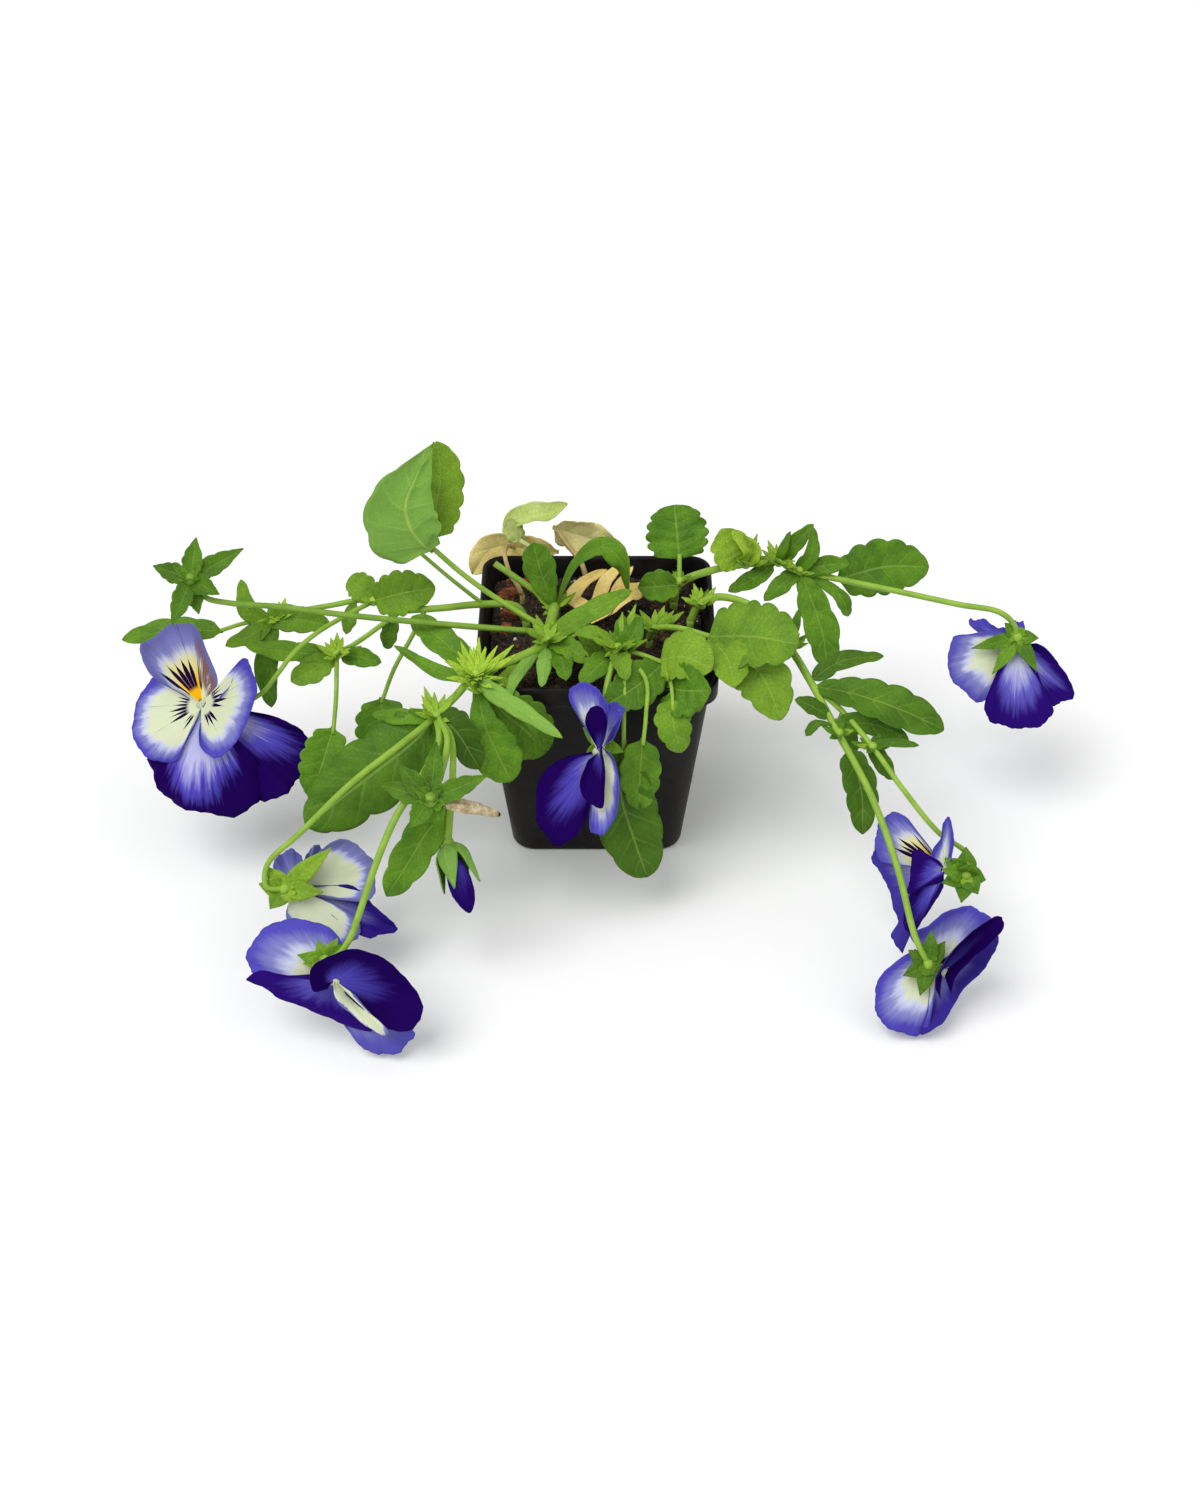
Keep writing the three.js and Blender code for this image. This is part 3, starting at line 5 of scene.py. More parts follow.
import math
import bpy
import numpy as np
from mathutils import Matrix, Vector


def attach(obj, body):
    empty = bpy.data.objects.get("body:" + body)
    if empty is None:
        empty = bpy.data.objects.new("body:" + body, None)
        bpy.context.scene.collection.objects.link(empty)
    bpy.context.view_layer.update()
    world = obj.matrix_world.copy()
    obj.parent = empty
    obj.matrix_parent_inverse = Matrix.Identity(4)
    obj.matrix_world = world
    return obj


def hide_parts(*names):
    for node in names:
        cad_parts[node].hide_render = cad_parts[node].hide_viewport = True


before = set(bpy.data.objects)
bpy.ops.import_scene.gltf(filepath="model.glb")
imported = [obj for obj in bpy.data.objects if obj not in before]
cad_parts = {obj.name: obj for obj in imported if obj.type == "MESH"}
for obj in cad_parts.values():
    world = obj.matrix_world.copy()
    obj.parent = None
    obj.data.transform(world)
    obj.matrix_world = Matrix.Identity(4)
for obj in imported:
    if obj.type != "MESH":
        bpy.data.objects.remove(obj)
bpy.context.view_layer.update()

# ---- nursery pot ------------------------------------------------------------------------
# A thin injection-moulded polypropylene pot, tapered, with rounded corners, a stiff band
# round the mouth and eight drain holes in its floor. The black plastic is satin, dulled in
# patches by dust and specked with dried soil, most of all low down.

POT_TOP, POT_BASE, POT_HEIGHT = 90, 66, 87
POT_WALL, POT_FLOOR = 1.2, 1.6
LIP_HEIGHT, LIP_STEP = 8, 2.2
CORNER_BASE, CORNER_TOP = 9, 7
CORNER_STEPS = 8
FOLD_ANGLE = math.radians(50)
# Each drain hole: which side of the floor it is on, how far past the ring, and its radius.
DRAINS = [(1, 1, 0, 4), (-1, 1, 0, 4), (-1, -1, 0, 4), (1, -1, 0, 4),
          (1, 0, 3, 2.6), (0, 1, 3, 2.6), (-1, 0, 3, 2.6), (0, -1, 3, 2.6)]


# One level ring of the pot: a square of the given width with rounded corners.
def rounded_square(width, corner, z):
    half = width / 2 - corner
    ring = []
    for sx, sy, start in [(1, 1, 0), (-1, 1, 90), (-1, -1, 180), (1, -1, 270)]:
        for k in range(CORNER_STEPS + 1):
            angle = math.radians(start + 90 * k / CORNER_STEPS)
            ring.append((sx * half + corner * math.cos(angle), sy * half + corner * math.sin(angle), z))
    return np.array(ring)


# The outer width of the tapered wall, and the radius of its corners, at a height.
def wall_width(z):
    return POT_BASE + (POT_TOP - 2 * LIP_STEP - POT_BASE) * z / POT_HEIGHT


def corner_at(z):
    return CORNER_BASE + (CORNER_TOP - CORNER_BASE) * z / POT_HEIGHT


# Joins rings with the same number of points; both ends are capped.
def loft(rings):
    n = len(rings[0])
    points = np.concatenate(rings)
    faces = []
    for r in range(len(rings) - 1):
        for i in range(n):
            a, b = r * n + i, r * n + (i + 1) % n
            faces.append((a, b, b + n, a + n))
    last = (len(rings) - 1) * n
    faces.append(tuple(range(n - 1, -1, -1)))
    faces.append(tuple(range(last, last + n)))
    return points, faces


# Makes an object in metres from points in millimetres.
def mesh_object(name, points, faces, smooth=True):
    mesh = bpy.data.meshes.new(name)
    mesh.from_pydata((np.asarray(points) * 0.001).tolist(), [], faces)
    mesh.validate()
    if smooth:
        mesh.shade_smooth()
    made = bpy.data.objects.new(name, mesh)
    bpy.context.scene.collection.objects.link(made)
    return made


# Replaces an object's mesh by what its modifiers make of it, and takes them off.
def settle(piece):
    graph = bpy.context.evaluated_depsgraph_get()
    mesh = bpy.data.meshes.new_from_object(piece.evaluated_get(graph), depsgraph=graph)
    piece.modifiers.clear()
    piece.data = mesh
    return piece


# Adds a shader node; feeds go into its inputs in order, None leaves one as it is.
def node(tree, kind, *feeds, at=None, **settings):
    made = tree.nodes.new("ShaderNode" + kind)
    for key, value in settings.items():
        setattr(made, key, value)
    for key, value in [*enumerate(feeds), *(at or {}).items()]:
        if isinstance(value, bpy.types.NodeSocket):
            tree.links.new(value, made.inputs[key])
        elif value is not None:
            made.inputs[key].default_value = value
    return made


def maths(tree, operation, *feeds, clamp=False):
    return node(tree, "Math", *feeds, operation=operation, use_clamp=clamp).outputs[0]


# Mixes two colours by a mask; each of the three is a socket or a plain value.
def blend_colour(tree, mask, one, other):
    made = node(tree, "Mix", data_type="RGBA")
    for key, kind, value in (("Factor", "VALUE", mask), ("A", "RGBA", one), ("B", "RGBA", other)):
        socket = next(s for s in made.inputs if s.name == key and s.type == kind)
        if isinstance(value, bpy.types.NodeSocket):
            tree.links.new(value, socket)
        else:
            socket.default_value = value if key == "Factor" else (*value, 1)
    return next(s for s in made.outputs if s.type == "RGBA")


# A soft step: 0 where the value is at low, 1 where it is at high.
def between(tree, value, low, high):
    return node(tree, "MapRange", value, low, high, 0, 1, interpolation_type="SMOOTHSTEP").outputs[0]


# Uneven soft patches over a surface: 0 to 1, at a given size and contrast.
def mottle_group():
    tree = bpy.data.node_groups.new("mottle", "ShaderNodeTree")
    for name, kind, start in [("Place", "NodeSocketVector", None), ("Size", "NodeSocketFloat", 100.0),
                              ("Low", "NodeSocketFloat", 0.35), ("High", "NodeSocketFloat", 0.65)]:
        socket = tree.interface.new_socket(name, in_out="INPUT", socket_type=kind)
        if start is not None:
            socket.default_value = start
    tree.interface.new_socket("Mask", in_out="OUTPUT", socket_type="NodeSocketFloat")
    inside = tree.nodes.new("NodeGroupInput").outputs
    noise = node(tree, "TexNoise", at={"Vector": inside["Place"], "Scale": inside["Size"], "Detail": 5.0,
                                       "Roughness": 0.6}).outputs[0]
    out = tree.nodes.new("NodeGroupOutput")
    tree.links.new(between(tree, noise, inside["Low"], inside["High"]), out.inputs[0])
    return tree


MOTTLE = mottle_group()


def mottle(tree, place, size, low=0.35, high=0.65):
    made = node(tree, "Group", node_tree=MOTTLE)
    tree.links.new(place, made.inputs["Place"])
    for key, value in (("Size", size), ("Low", low), ("High", high)):
        made.inputs[key].default_value = value
    return made.outputs[0]


# A material with its plain settings on the shader's own sockets, and the place on the object.
def new_material(name, **plain):
    made = bpy.data.materials.new(name)
    made.use_nodes = True
    tree = made.node_tree
    shader = tree.nodes["Principled BSDF"]
    for key, value in plain.items():
        shader.inputs[key.replace("_", " ")].default_value = value
    place = node(tree, "TexCoord").outputs["Object"]
    return made, tree, shader, place


def relief(tree, shader, height, strength, distance):
    bump = node(tree, "Bump", at={"Height": height, "Strength": strength, "Distance": distance})
    tree.links.new(bump.outputs[0], shader.inputs["Normal"])


def pot_plastic():
    made, tree, shader, place = new_material("pot_plastic", Specular_IOR_Level=0.13)
    dust = mottle(tree, place, 46, 0.42, 0.78)
    specks = mottle(tree, place, 900, 0.66, 0.72)
    low_down = between(tree, node(tree, "SeparateXYZ", place).outputs[2], 0.045, 0.0)
    black = blend_colour(tree, mottle(tree, place, 18), (0.0044, 0.0037, 0.0038), (0.0088, 0.0072, 0.0070))
    dusty = blend_colour(tree, maths(tree, "MULTIPLY", dust, 0.35), black, (0.045, 0.037, 0.031))
    grains = maths(tree, "MULTIPLY", specks, maths(tree, "MULTIPLY_ADD", low_down, 0.5, 0.2), clamp=True)
    tree.links.new(blend_colour(tree, grains, dusty, (0.16, 0.10, 0.06)), shader.inputs["Base Color"])
    tree.links.new(maths(tree, "MULTIPLY_ADD", dust, 0.22, 0.40), shader.inputs["Roughness"])
    scuffs = node(tree, "TexNoise", at={"Vector": place, "Scale": 1400.0, "Detail": 3.0}).outputs[0]
    relief(tree, shader, scuffs, 0.25, 0.0003)
    return made


# The pot's rings run up the outside, round the lip and down the inside; the holes are cut.
def nursery_pot():
    band = POT_HEIGHT - LIP_HEIGHT
    outside = [(POT_BASE - 3, CORNER_BASE - 1.5, 0), (POT_BASE - 1.2, CORNER_BASE - 0.6, 0.15),
               (POT_BASE - 0.2, CORNER_BASE, 0.7), (wall_width(1.6), CORNER_BASE, 1.6)]
    outside += [(wall_width(z), corner_at(z), z) for z in (12, 26, 40, 54, 66, 74)]
    outside += [(wall_width(band - 3), corner_at(band), band - 3),
                (wall_width(band - 1.2) + 0.5, corner_at(band), band - 1.2),
                (wall_width(band) + 1.6, CORNER_TOP + 0.8, band - 0.4),
                (POT_TOP - 0.8, CORNER_TOP + 1.3, band + 0.1),
                (POT_TOP - 0.3, CORNER_TOP + 1.5, band + 0.9),
                (POT_TOP - 0.1, CORNER_TOP + 1.6, band + 4),
                (POT_TOP, CORNER_TOP + 1.6, POT_HEIGHT - 1.4),
                (POT_TOP - 0.3, CORNER_TOP + 1.5, POT_HEIGHT - 0.6),
                (POT_TOP - 1.0, CORNER_TOP + 1.2, POT_HEIGHT - 0.1),
                (POT_TOP - 1.8, CORNER_TOP + 0.8, POT_HEIGHT)]
    inset = 2 * POT_WALL
    inside = [(POT_TOP - 3.2, CORNER_TOP + 0.2, POT_HEIGHT - 0.1),
              (POT_TOP - 4.2, CORNER_TOP - 0.2, POT_HEIGHT - 0.9),
              (wall_width(band) - inset + 1, corner_at(band) - POT_WALL + 0.5, band + 1)]
    inside += [(wall_width(z) - inset, corner_at(z) - POT_WALL, z) for z in (72, 50, 30, 12, 4)]
    inside += [(wall_width(2) - inset - 1.5, CORNER_BASE - 2.2, POT_FLOOR + 0.3),
               (wall_width(2) - inset - 5, CORNER_BASE - 3, POT_FLOOR)]
    points, faces = loft([rounded_square(*row) for row in outside + inside])
    pot = mesh_object("nursery_pot", points, faces)
    holes, reach = [], POT_BASE / 2 - 11
    for sx, sy, out, radius in DRAINS:
        around = [(math.cos(a) * radius + sx * (reach + out), math.sin(a) * radius + sy * (reach + out))
                  for a in np.linspace(0, 2 * math.pi, 24, endpoint=False)]
        holes.append(loft([np.array([(x, y, z) for x, y in around]) for z in (-2, 3.2)]))
    shift = np.cumsum([0] + [len(p) for p, _ in holes])
    cut_faces = [tuple(i + s for i in face) for (_, faces), s in zip(holes, shift) for face in faces]
    cutter = mesh_object("drain_cutter", np.concatenate([p for p, _ in holes]), cut_faces, smooth=False)
    cut = pot.modifiers.new("drains", "BOOLEAN")
    cut.object, cut.operation, cut.solver = cutter, "DIFFERENCE", "EXACT"
    settle(pot)
    bpy.data.objects.remove(cutter)
    pot.data.shade_smooth()
    pot.data.set_sharp_from_angle(angle=FOLD_ANGLE)
    pot.data.materials.clear()
    pot.data.materials.append(pot_plastic())
    return pot


pot = nursery_pot()
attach(pot, "root")
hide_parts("pot")

# ---- potting soil -----------------------------------------------------------------------
# Peat and composted bark pressed into the pot and sunk below the band: a dark crumbly
# surface with paler fibres, loose granules and a few white grains of perlite.

SOIL_TOP = 79
SOIL_GAP = 0.35
SOIL_CELLS = 64
# How many grains lie on a square metre, and their smallest and largest radius in metres.
CRUMBS = {"Density": 340000.0, "Smallest": 0.00018, "Largest": 0.00085, "Seed": 3}
GRANULES = {"Density": 40000.0, "Smallest": 0.0008, "Largest": 0.0017, "Seed": 8}


# The surface of the soil at a place, uneven by about a millimetre.
def soil_height(x, y):
    dome = 1 - (x * x + y * y) / 4050
    lumps = 0.5 * np.sin(x * 0.31 + 1.3) * np.sin(y * 0.27 + 0.4) + 0.35 * np.sin(x * 0.83 - y * 0.61)
    return SOIL_TOP - 0.9 + dome + lumps + 0.25 * np.sin(x * 1.9 + y * 2.3)


def soil_material():
    made, tree, shader, place = new_material("soil", Roughness=0.95, Specular_IOR_Level=0.2)
    crumbs = node(tree, "TexVoronoi", at={"Vector": place, "Scale": 620.0})
    base = blend_colour(tree, mottle(tree, place, 260), (0.010, 0.0075, 0.006), (0.050, 0.034, 0.024))
    fibres = mottle(tree, place, 1500, 0.60, 0.70)
    tree.links.new(blend_colour(tree, fibres, base, (0.13, 0.085, 0.05)), shader.inputs["Base Color"])
    relief(tree, shader, crumbs.outputs["Distance"], 0.9, 0.0012)
    return made


def granule_material():
    made, tree, shader, place = new_material("soil_granules", Roughness=0.92, Specular_IOR_Level=0.25)
    hue = node(tree, "TexNoise", at={"Vector": place, "Scale": 170.0, "Detail": 2.0}).outputs[0]
    dark = blend_colour(tree, between(tree, hue, 0.40, 0.60), (0.012, 0.009, 0.007), (0.075, 0.045, 0.028))
    rusty = blend_colour(tree, between(tree, hue, 0.60, 0.68), dark, (0.20, 0.085, 0.035))
    spots = node(tree, "TexNoise", at={"Vector": place, "Scale": 130.0}).outputs[0]
    perlite = maths(tree, "GREATER_THAN", spots, 0.695)
    tree.links.new(blend_colour(tree, perlite, rusty, (0.62, 0.60, 0.55)), shader.inputs["Base Color"])
    grit = node(tree, "TexNoise", at={"Vector": place, "Scale": 2600.0}).outputs[0]
    relief(tree, shader, grit, 0.6, 0.0004)
    return made


# Scatters grains over a surface, turned at random; or, upright, fine hairs that stand on it
# as thickly as its "hairy" attribute says.
def scatter_tree(name, material, upright=False):
    tree = bpy.data.node_groups.new(name, "GeometryNodeTree")
    add = tree.nodes.new
    face = tree.interface.new_socket
    face("Geometry", in_out="INPUT", socket_type="NodeSocketGeometry")
    for label, kind in (("Density", "NodeSocketFloat"), ("Smallest", "NodeSocketFloat"),
                        ("Largest", "NodeSocketFloat"), ("Seed", "NodeSocketInt")):
        face(label, in_out="INPUT", socket_type=kind)
    face("Geometry", in_out="OUTPUT", socket_type="NodeSocketGeometry")
    inside, out = add("NodeGroupInput").outputs, add("NodeGroupOutput")
    spread = add("GeometryNodeDistributePointsOnFaces")
    size = add("FunctionNodeRandomValue")
    turn = add("FunctionNodeRandomValue")
    turn.data_type = "FLOAT_VECTOR"
    place = add("GeometryNodeInstanceOnPoints")
    real = add("GeometryNodeRealizeInstances")
    paint = add("GeometryNodeSetMaterial")
    paint.inputs["Material"].default_value = material
    link = tree.links.new
    link(inside["Geometry"], spread.inputs["Mesh"])
    link(inside["Seed"], spread.inputs["Seed"])
    link(inside["Smallest"], size.inputs[2])
    link(inside["Largest"], size.inputs[3])
    most = 0.5 if upright else 3.1
    turn.inputs[0].default_value = (-most, -most, -most)
    turn.inputs[1].default_value = (most, most, most)
    if upright:
        chosen = add("GeometryNodeInputNamedAttribute")
        chosen.data_type = "FLOAT"
        chosen.inputs["Name"].default_value = "hairy"
        weight = add("ShaderNodeMath")
        weight.operation = "MULTIPLY"
        link(chosen.outputs["Attribute"], weight.inputs[0])
        link(inside["Density"], weight.inputs[1])
        link(weight.outputs[0], spread.inputs["Density"])
        shape = add("GeometryNodeMeshCone")
        sizes = {"Vertices": 3, "Radius Top": 0.0, "Radius Bottom": 0.055, "Depth": 1.0}
        tilt = add("FunctionNodeRotateRotation")
        lean = add("FunctionNodeEulerToRotation")
        link(turn.outputs[0], lean.inputs[0])
        link(spread.outputs["Rotation"], tilt.inputs[0])
        link(lean.outputs[0], tilt.inputs[1])
        link(tilt.outputs[0], place.inputs["Rotation"])
    else:
        link(inside["Density"], spread.inputs["Density"])
        shape = add("GeometryNodeMeshIcoSphere")
        sizes = {"Radius": 1.0, "Subdivisions": 1}
        link(turn.outputs[0], place.inputs["Rotation"])
    for label, amount in sizes.items():
        shape.inputs[label].default_value = amount
    link(shape.outputs["Mesh"], place.inputs["Instance"])
    link(spread.outputs["Points"], place.inputs["Points"])
    link(size.outputs[1], place.inputs["Scale"])
    link(place.outputs["Instances"], real.inputs[0])
    link(real.outputs[0], paint.inputs[0])
    link(paint.outputs[0], out.inputs[0])
    return tree


# Runs a scatter tree on a surface and gives the result as a mesh of its own.
def scattered(name, surface, tree, **inputs):
    mesh = surface.data.copy()
    made = bpy.data.objects.new(name, mesh)
    bpy.context.scene.collection.objects.link(made)
    grow = made.modifiers.new("scatter", "NODES")
    grow.node_group = tree
    for item in tree.interface.items_tree:
        if item.in_out == "INPUT" and item.name in inputs:
            grow[item.identifier] = inputs[item.name]
    return settle(made)


# The soil as one body: an uneven top grid drawn in at the pot's corners, and tapered sides.
def soil_surface():
    cells = SOIL_CELLS
    reach = wall_width(SOIL_TOP) / 2 - POT_WALL - SOIL_GAP
    line = np.linspace(-reach, reach, cells + 1)
    x, y = np.meshgrid(line, line)
    corner = corner_at(SOIL_TOP) - POT_WALL
    over_x = np.maximum(abs(x) - (reach - corner), 0)
    over_y = np.maximum(abs(y) - (reach - corner), 0)
    far = np.hypot(over_x, over_y)
    pull = np.where(far > corner, corner / np.maximum(far, 1e-6), 1)
    x = np.sign(x) * (np.minimum(abs(x), reach - corner) + over_x * pull)
    y = np.sign(y) * (np.minimum(abs(y), reach - corner) + over_y * pull)
    top = np.stack([x, y, soil_height(x, y)], -1).reshape(-1, 3)
    n = cells + 1
    faces = [(j * n + i, j * n + i + 1, (j + 1) * n + i + 1, (j + 1) * n + i)
             for j in range(cells) for i in range(cells)]
    rim = [i for i in range(n)] + [j * n + cells for j in range(1, n)]
    rim += [cells * n + i for i in range(cells - 1, -1, -1)] + [j * n for j in range(cells - 1, 0, -1)]
    shrink = (wall_width(POT_FLOOR) - 3) / (wall_width(SOIL_TOP) - 3)
    underneath = top[rim] * [shrink, shrink, 0] + [0, 0, POT_FLOOR + SOIL_GAP]
    points = np.concatenate([top, underneath])
    base = len(top)
    for k in range(len(rim)):
        after = (k + 1) % len(rim)
        faces.append((rim[after], rim[k], base + k, base + after))
    faces.append(tuple(range(base + len(rim) - 1, base - 1, -1)))
    return mesh_object("potting_soil_body", points, faces)


# The upward faces of the soil, for the grains to lie on.
def upper_side(mesh):
    points = np.array([v.co[:] for v in mesh.vertices]) * 1000
    faces = [tuple(p.vertices) for p in mesh.polygons if p.normal.z > 0.5]
    return mesh_object("soil_top", points, faces)


soil = soil_surface()
soil.data.materials.append(soil_material())
crumb_tree = scatter_tree("soil_crumbs", granule_material())
soil_top = upper_side(soil.data)
crumbs = scattered("soil_crumbs", soil_top, crumb_tree, **CRUMBS)
coarse = scattered("soil_granules", soil_top, crumb_tree, **GRANULES)
bpy.data.objects.remove(soil_top)
for piece in (soil, crumbs, coarse):
    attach(piece, "root")
    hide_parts("potting_soil")

# ---- bark chips -------------------------------------------------------------------------
# Five loose chips of composted pine bark on the soil: dry, reddish brown, split along the
# grain and torn at the ends.

# Each chip: its place on the soil, its length, width and thickness, and its turn in degrees.
CHIPS = [((-35, 27), (9, 5, 3), 35), ((-33, 14), (8, 4, 3), -20), ((-27, 35), (10, 5, 3), 10),
         ((-35, 4), (6, 4, 2.5), 70), ((26, 12), (10, 4, 3), -40)]
CHIP_LIFT = 1.2


def bark_material():
    made, tree, shader, place = new_material("pine_bark", Roughness=0.88, Specular_IOR_Level=0.2)
    grain = node(tree, "Mapping", place, at={"Scale": (260, 900, 900), "Rotation": (0, 0, 0.5)}).outputs[0]
    split = node(tree, "TexNoise", at={"Vector": grain, "Scale": 1.0, "Detail": 4.0}).outputs[0]
    body = blend_colour(tree, between(tree, split, 0.35, 0.65), (0.075, 0.022, 0.010), (0.33, 0.105, 0.035))
    dark = mottle(tree, place, 420, 0.45, 0.7)
    tree.links.new(blend_colour(tree, maths(tree, "MULTIPLY", dark, 0.6), body, (0.030, 0.014, 0.009)),
                   shader.inputs["Base Color"])
    relief(tree, shader, split, 0.9, 0.0007)
    return made


# One chip: an uneven prism with torn ends, split faces and a slight tilt.
def bark_chip(number, at, size, turn):
    draw = np.random.default_rng(70 + number)
    along = np.linspace(-1, 1, 15)
    around = np.linspace(0, 2 * math.pi, 24, endpoint=False)
    rings = []
    for u in along:
        narrow = (1 - 0.35 * abs(u) ** 3) * (0.12 if abs(u) == 1 else 1)
        torn = 1 + 0.10 * draw.uniform(-1, 1, len(around))
        y = size[1] / 2 * np.sign(np.cos(around)) * np.abs(np.cos(around)) ** 0.5 * narrow * torn
        z = size[2] / 2 * np.sign(np.sin(around)) * np.abs(np.sin(around)) ** 0.6 * narrow * torn
        x = size[0] / 2 * u + 0.35 * draw.uniform(-1, 1, len(around)) + 0.3 * np.sin(3 * around) * abs(u)
        rings.append(np.stack([np.broadcast_to(x, y.shape), y, z], -1))
    points, faces = loft(rings)
    cosine, sine = math.cos(math.radians(turn)), math.sin(math.radians(turn))
    laid = points @ np.array([(cosine, sine, 0.07), (-sine, cosine, 0.1), (0, 0, 1)])
    points = laid + (*at, SOIL_TOP + CHIP_LIFT)
    chip = mesh_object(f"bark_chip_{number + 1}_torn", points, faces, smooth=False)
    chip.data.materials.append(BARK)
    return chip


BARK = bark_material()
for number, (at, size, turn) in enumerate(CHIPS):
    chip = bark_chip(number, at, size, turn)
    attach(chip, "root")
    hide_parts(f"bark_chip_{number + 1}")

# ---- leafy stems ------------------------------------------------------------------------
# Six soft stems rooted in the soil, two to four millimetres thick and ridged, with stalked
# ovate leaves edged with blunt teeth, lobed leafy stipules at the joints, and flower stalks
# that end in a green calyx of five pointed sepals. Living tissue, grown in one piece.

UPWARD, FORWARD, BACKWARD = (0, -0.5, 0.86), (0, -0.79, 0.61), (0, 0.79, -0.61)
SHEET_LEAN = math.radians(38)
ROOT_DEPTH = 14
FOOT_RISE = 4
CALYX_RADIUS = 2.0
STALK_STEP = 2.2
STALK_DOWN = 0.5
BALL_AXIS = (0.2, -0.75, 0.63)
BALL_RINGS, BALL_SIDES = 9, 16
# A blade: its thickness at the edge, what the middle and the midrib add to it, the depth of
# the crease over the midrib, and how far the surface swells between the side veins.
BLADE_EDGE, BLADE_BODY, MIDRIB = 0.28, 0.22, 0.9
CREASE, QUILTING = 0.55, 0.45
# Where each stem stands in the soil, and its radius there.
FEET = {
    "stem_left": ((-27, 6), 1.7),
    "stem_front_left": ((-16, 13), 2.1),
    "stem_centre": ((2, -21), 1.7),
    "leaf_right_inner": ((20, -6), 1.4),
    "stem_right_back": ((30, 19), 1.7),
    "stem_right_front": ((36, 6), 1.6),
    "curled_leaf_rear": ((-18, 31), 1.1),
    "dead_leaf_rear_left": ((-29, 23), 1.0),
    "dead_leaf_rear": ((-4, 34), 1.0),
    "dead_leaf_centre": ((-5, 3), 1.0),
}
# Each bloom lies on a leaning sheet of its own: where the sheet is, and on it the places of
# the calyx, the throat and the tips of the sepals.
HEADS = {
    "a": {"at": (-148, -28, 68), "calyx": (1, -1, -9), "throat": (0, 0, 0),
          "sepals": [(9, 5, -9), (-6, 9, -9), (-9, -4, -9), (2, -11, -10), (10, -6, -11)]},
    "b": {"at": (-112, -99, 38), "calyx": (0, 0, 0), "throat": (4, 0, -5),
          "sepals": [(17, 15, 2), (14, -1, 2), (-9, 2, 2), (-5, -7, 2), (-6, 8, 0)]},
    "c": {"at": (-93, -134, 32), "calyx": (-1, 3.2, 2.5), "throat": (2, -4, 0),
          "sepals": [(-11, 5, 2), (-4, 10, 1), (3, 11, 1.5), (-9, 2, 2.5), (5, 9, 2.5)]},
    "d": {"at": (1, -68, 75), "calyx": (1, 4, -9), "throat": (0, 1, -1),
          "sepals": [(-6, 10, -10), (6, 11, -10), (9, 1, -10), (-6, -3, -11), (4, -6, -11)]},
    "e": {"at": (163, 9, 72), "calyx": (0, 0.4, 0.4), "throat": (0, -3, -5),
          "sepals": [(-18, -4, 2), (-10, -14, 2), (7, -13, 3.5), (8, 0, 2), (-5, 6, 1)]},
    "f": {"at": (128, -94, 42), "calyx": (5, -1, 0), "throat": (-3, 1, 0),
          "sepals": [(5, 9, 0), (12, -3, 1), (9, -8, 2), (3, -11, 2), (6, 3, 7), (-3, 5, 3), (-4, -4, 3),
                     (-4, 1, 5)]},
    "g": {"at": (117, -126, 28), "calyx": (0, -1, 0), "throat": (3, -2, -6),
          "sepals": [(1, 11, 1), (-9, -5, 1), (-3, -12, 1), (-7, 4, 0), (6, 7, -0.5)]},
}
# What differs from bloom to bloom: the sepals' brightness and width, and their back lobes.
SEPAL_TONE = {"b": 0.3, "f": 0.3, "g": -0.1}
SEPAL_WIDTH = {"b": 7.5, "e": 5.8, "f": 7.5, "g": 6.4}
BACK_LOBE = {"b": 5.0, "c": 1.6, "f": 5.0}
BUD = {"base": (-53, -92, 54), "tip": (-45, -110, 36.5), "radius": 4.4}
# The downy hairs: how many stand on a square metre, and how long they are in metres.
DOWN = {"Density": 420000.0, "Smallest": 0.0004, "Largest": 0.0010, "Seed": 5}


def unit(v):
    v = np.asarray(v, float)
    return v / np.maximum(np.linalg.norm(v, axis=-1, keepdims=True), 1e-9)


# Points at the shares `along` of a smooth curve through the given points.
def smooth_path(points, along):
    p = np.array(points, float)
    p = np.concatenate([[2 * p[0] - p[1]], p, [2 * p[-1] - p[-2]]])
    place = np.clip(np.asarray(along, float) * (len(p) - 3), 0, len(p) - 3 - 1e-9)
    k = place.astype(int)
    w = (place - k)[:, None]
    p0, p1, p2, p3 = p[k], p[k + 1], p[k + 2], p[k + 3]
    d0, d1, d2 = (np.sqrt(np.linalg.norm(b - a, axis=1))[:, None] for a, b in ((p0, p1), (p1, p2), (p2, p3)))
    m1 = ((p1 - p0) / d0 - (p2 - p0) / (d0 + d1) + (p2 - p1) / d1) * d1
    m2 = ((p2 - p1) / d1 - (p3 - p1) / (d1 + d2) + (p3 - p2) / d2) * d1
    return p1 + m1 * w + (-3 * p1 + 3 * p2 - 2 * m1 - m2) * w**2 + (2 * p1 - 2 * p2 + m1 + m2) * w**3


# One closed shape of living tissue with what its material reads: how bright it is, whether
# it is an underside, how hairy, and where on the blade a point lies.
def grown(points, faces, finish, tone=0.0, underside=0.0, hairy=0.0, blade=(0.0, 0.5)):
    a, b, c, d = (points[faces[:, k]] for k in range(4))
    inside_out = np.sum(a * np.cross(b, c)) + np.sum(a * np.cross(c, d)) < 0
    n = len(points)
    return {"points": points, "faces": faces[:, ::-1] if inside_out else faces, "finish": finish,
            "tone": np.broadcast_to(tone, n), "underside": np.broadcast_to(underside, n),
            "hairy": np.broadcast_to(hairy, n), "blade": np.broadcast_to(blade, (n, 2))}


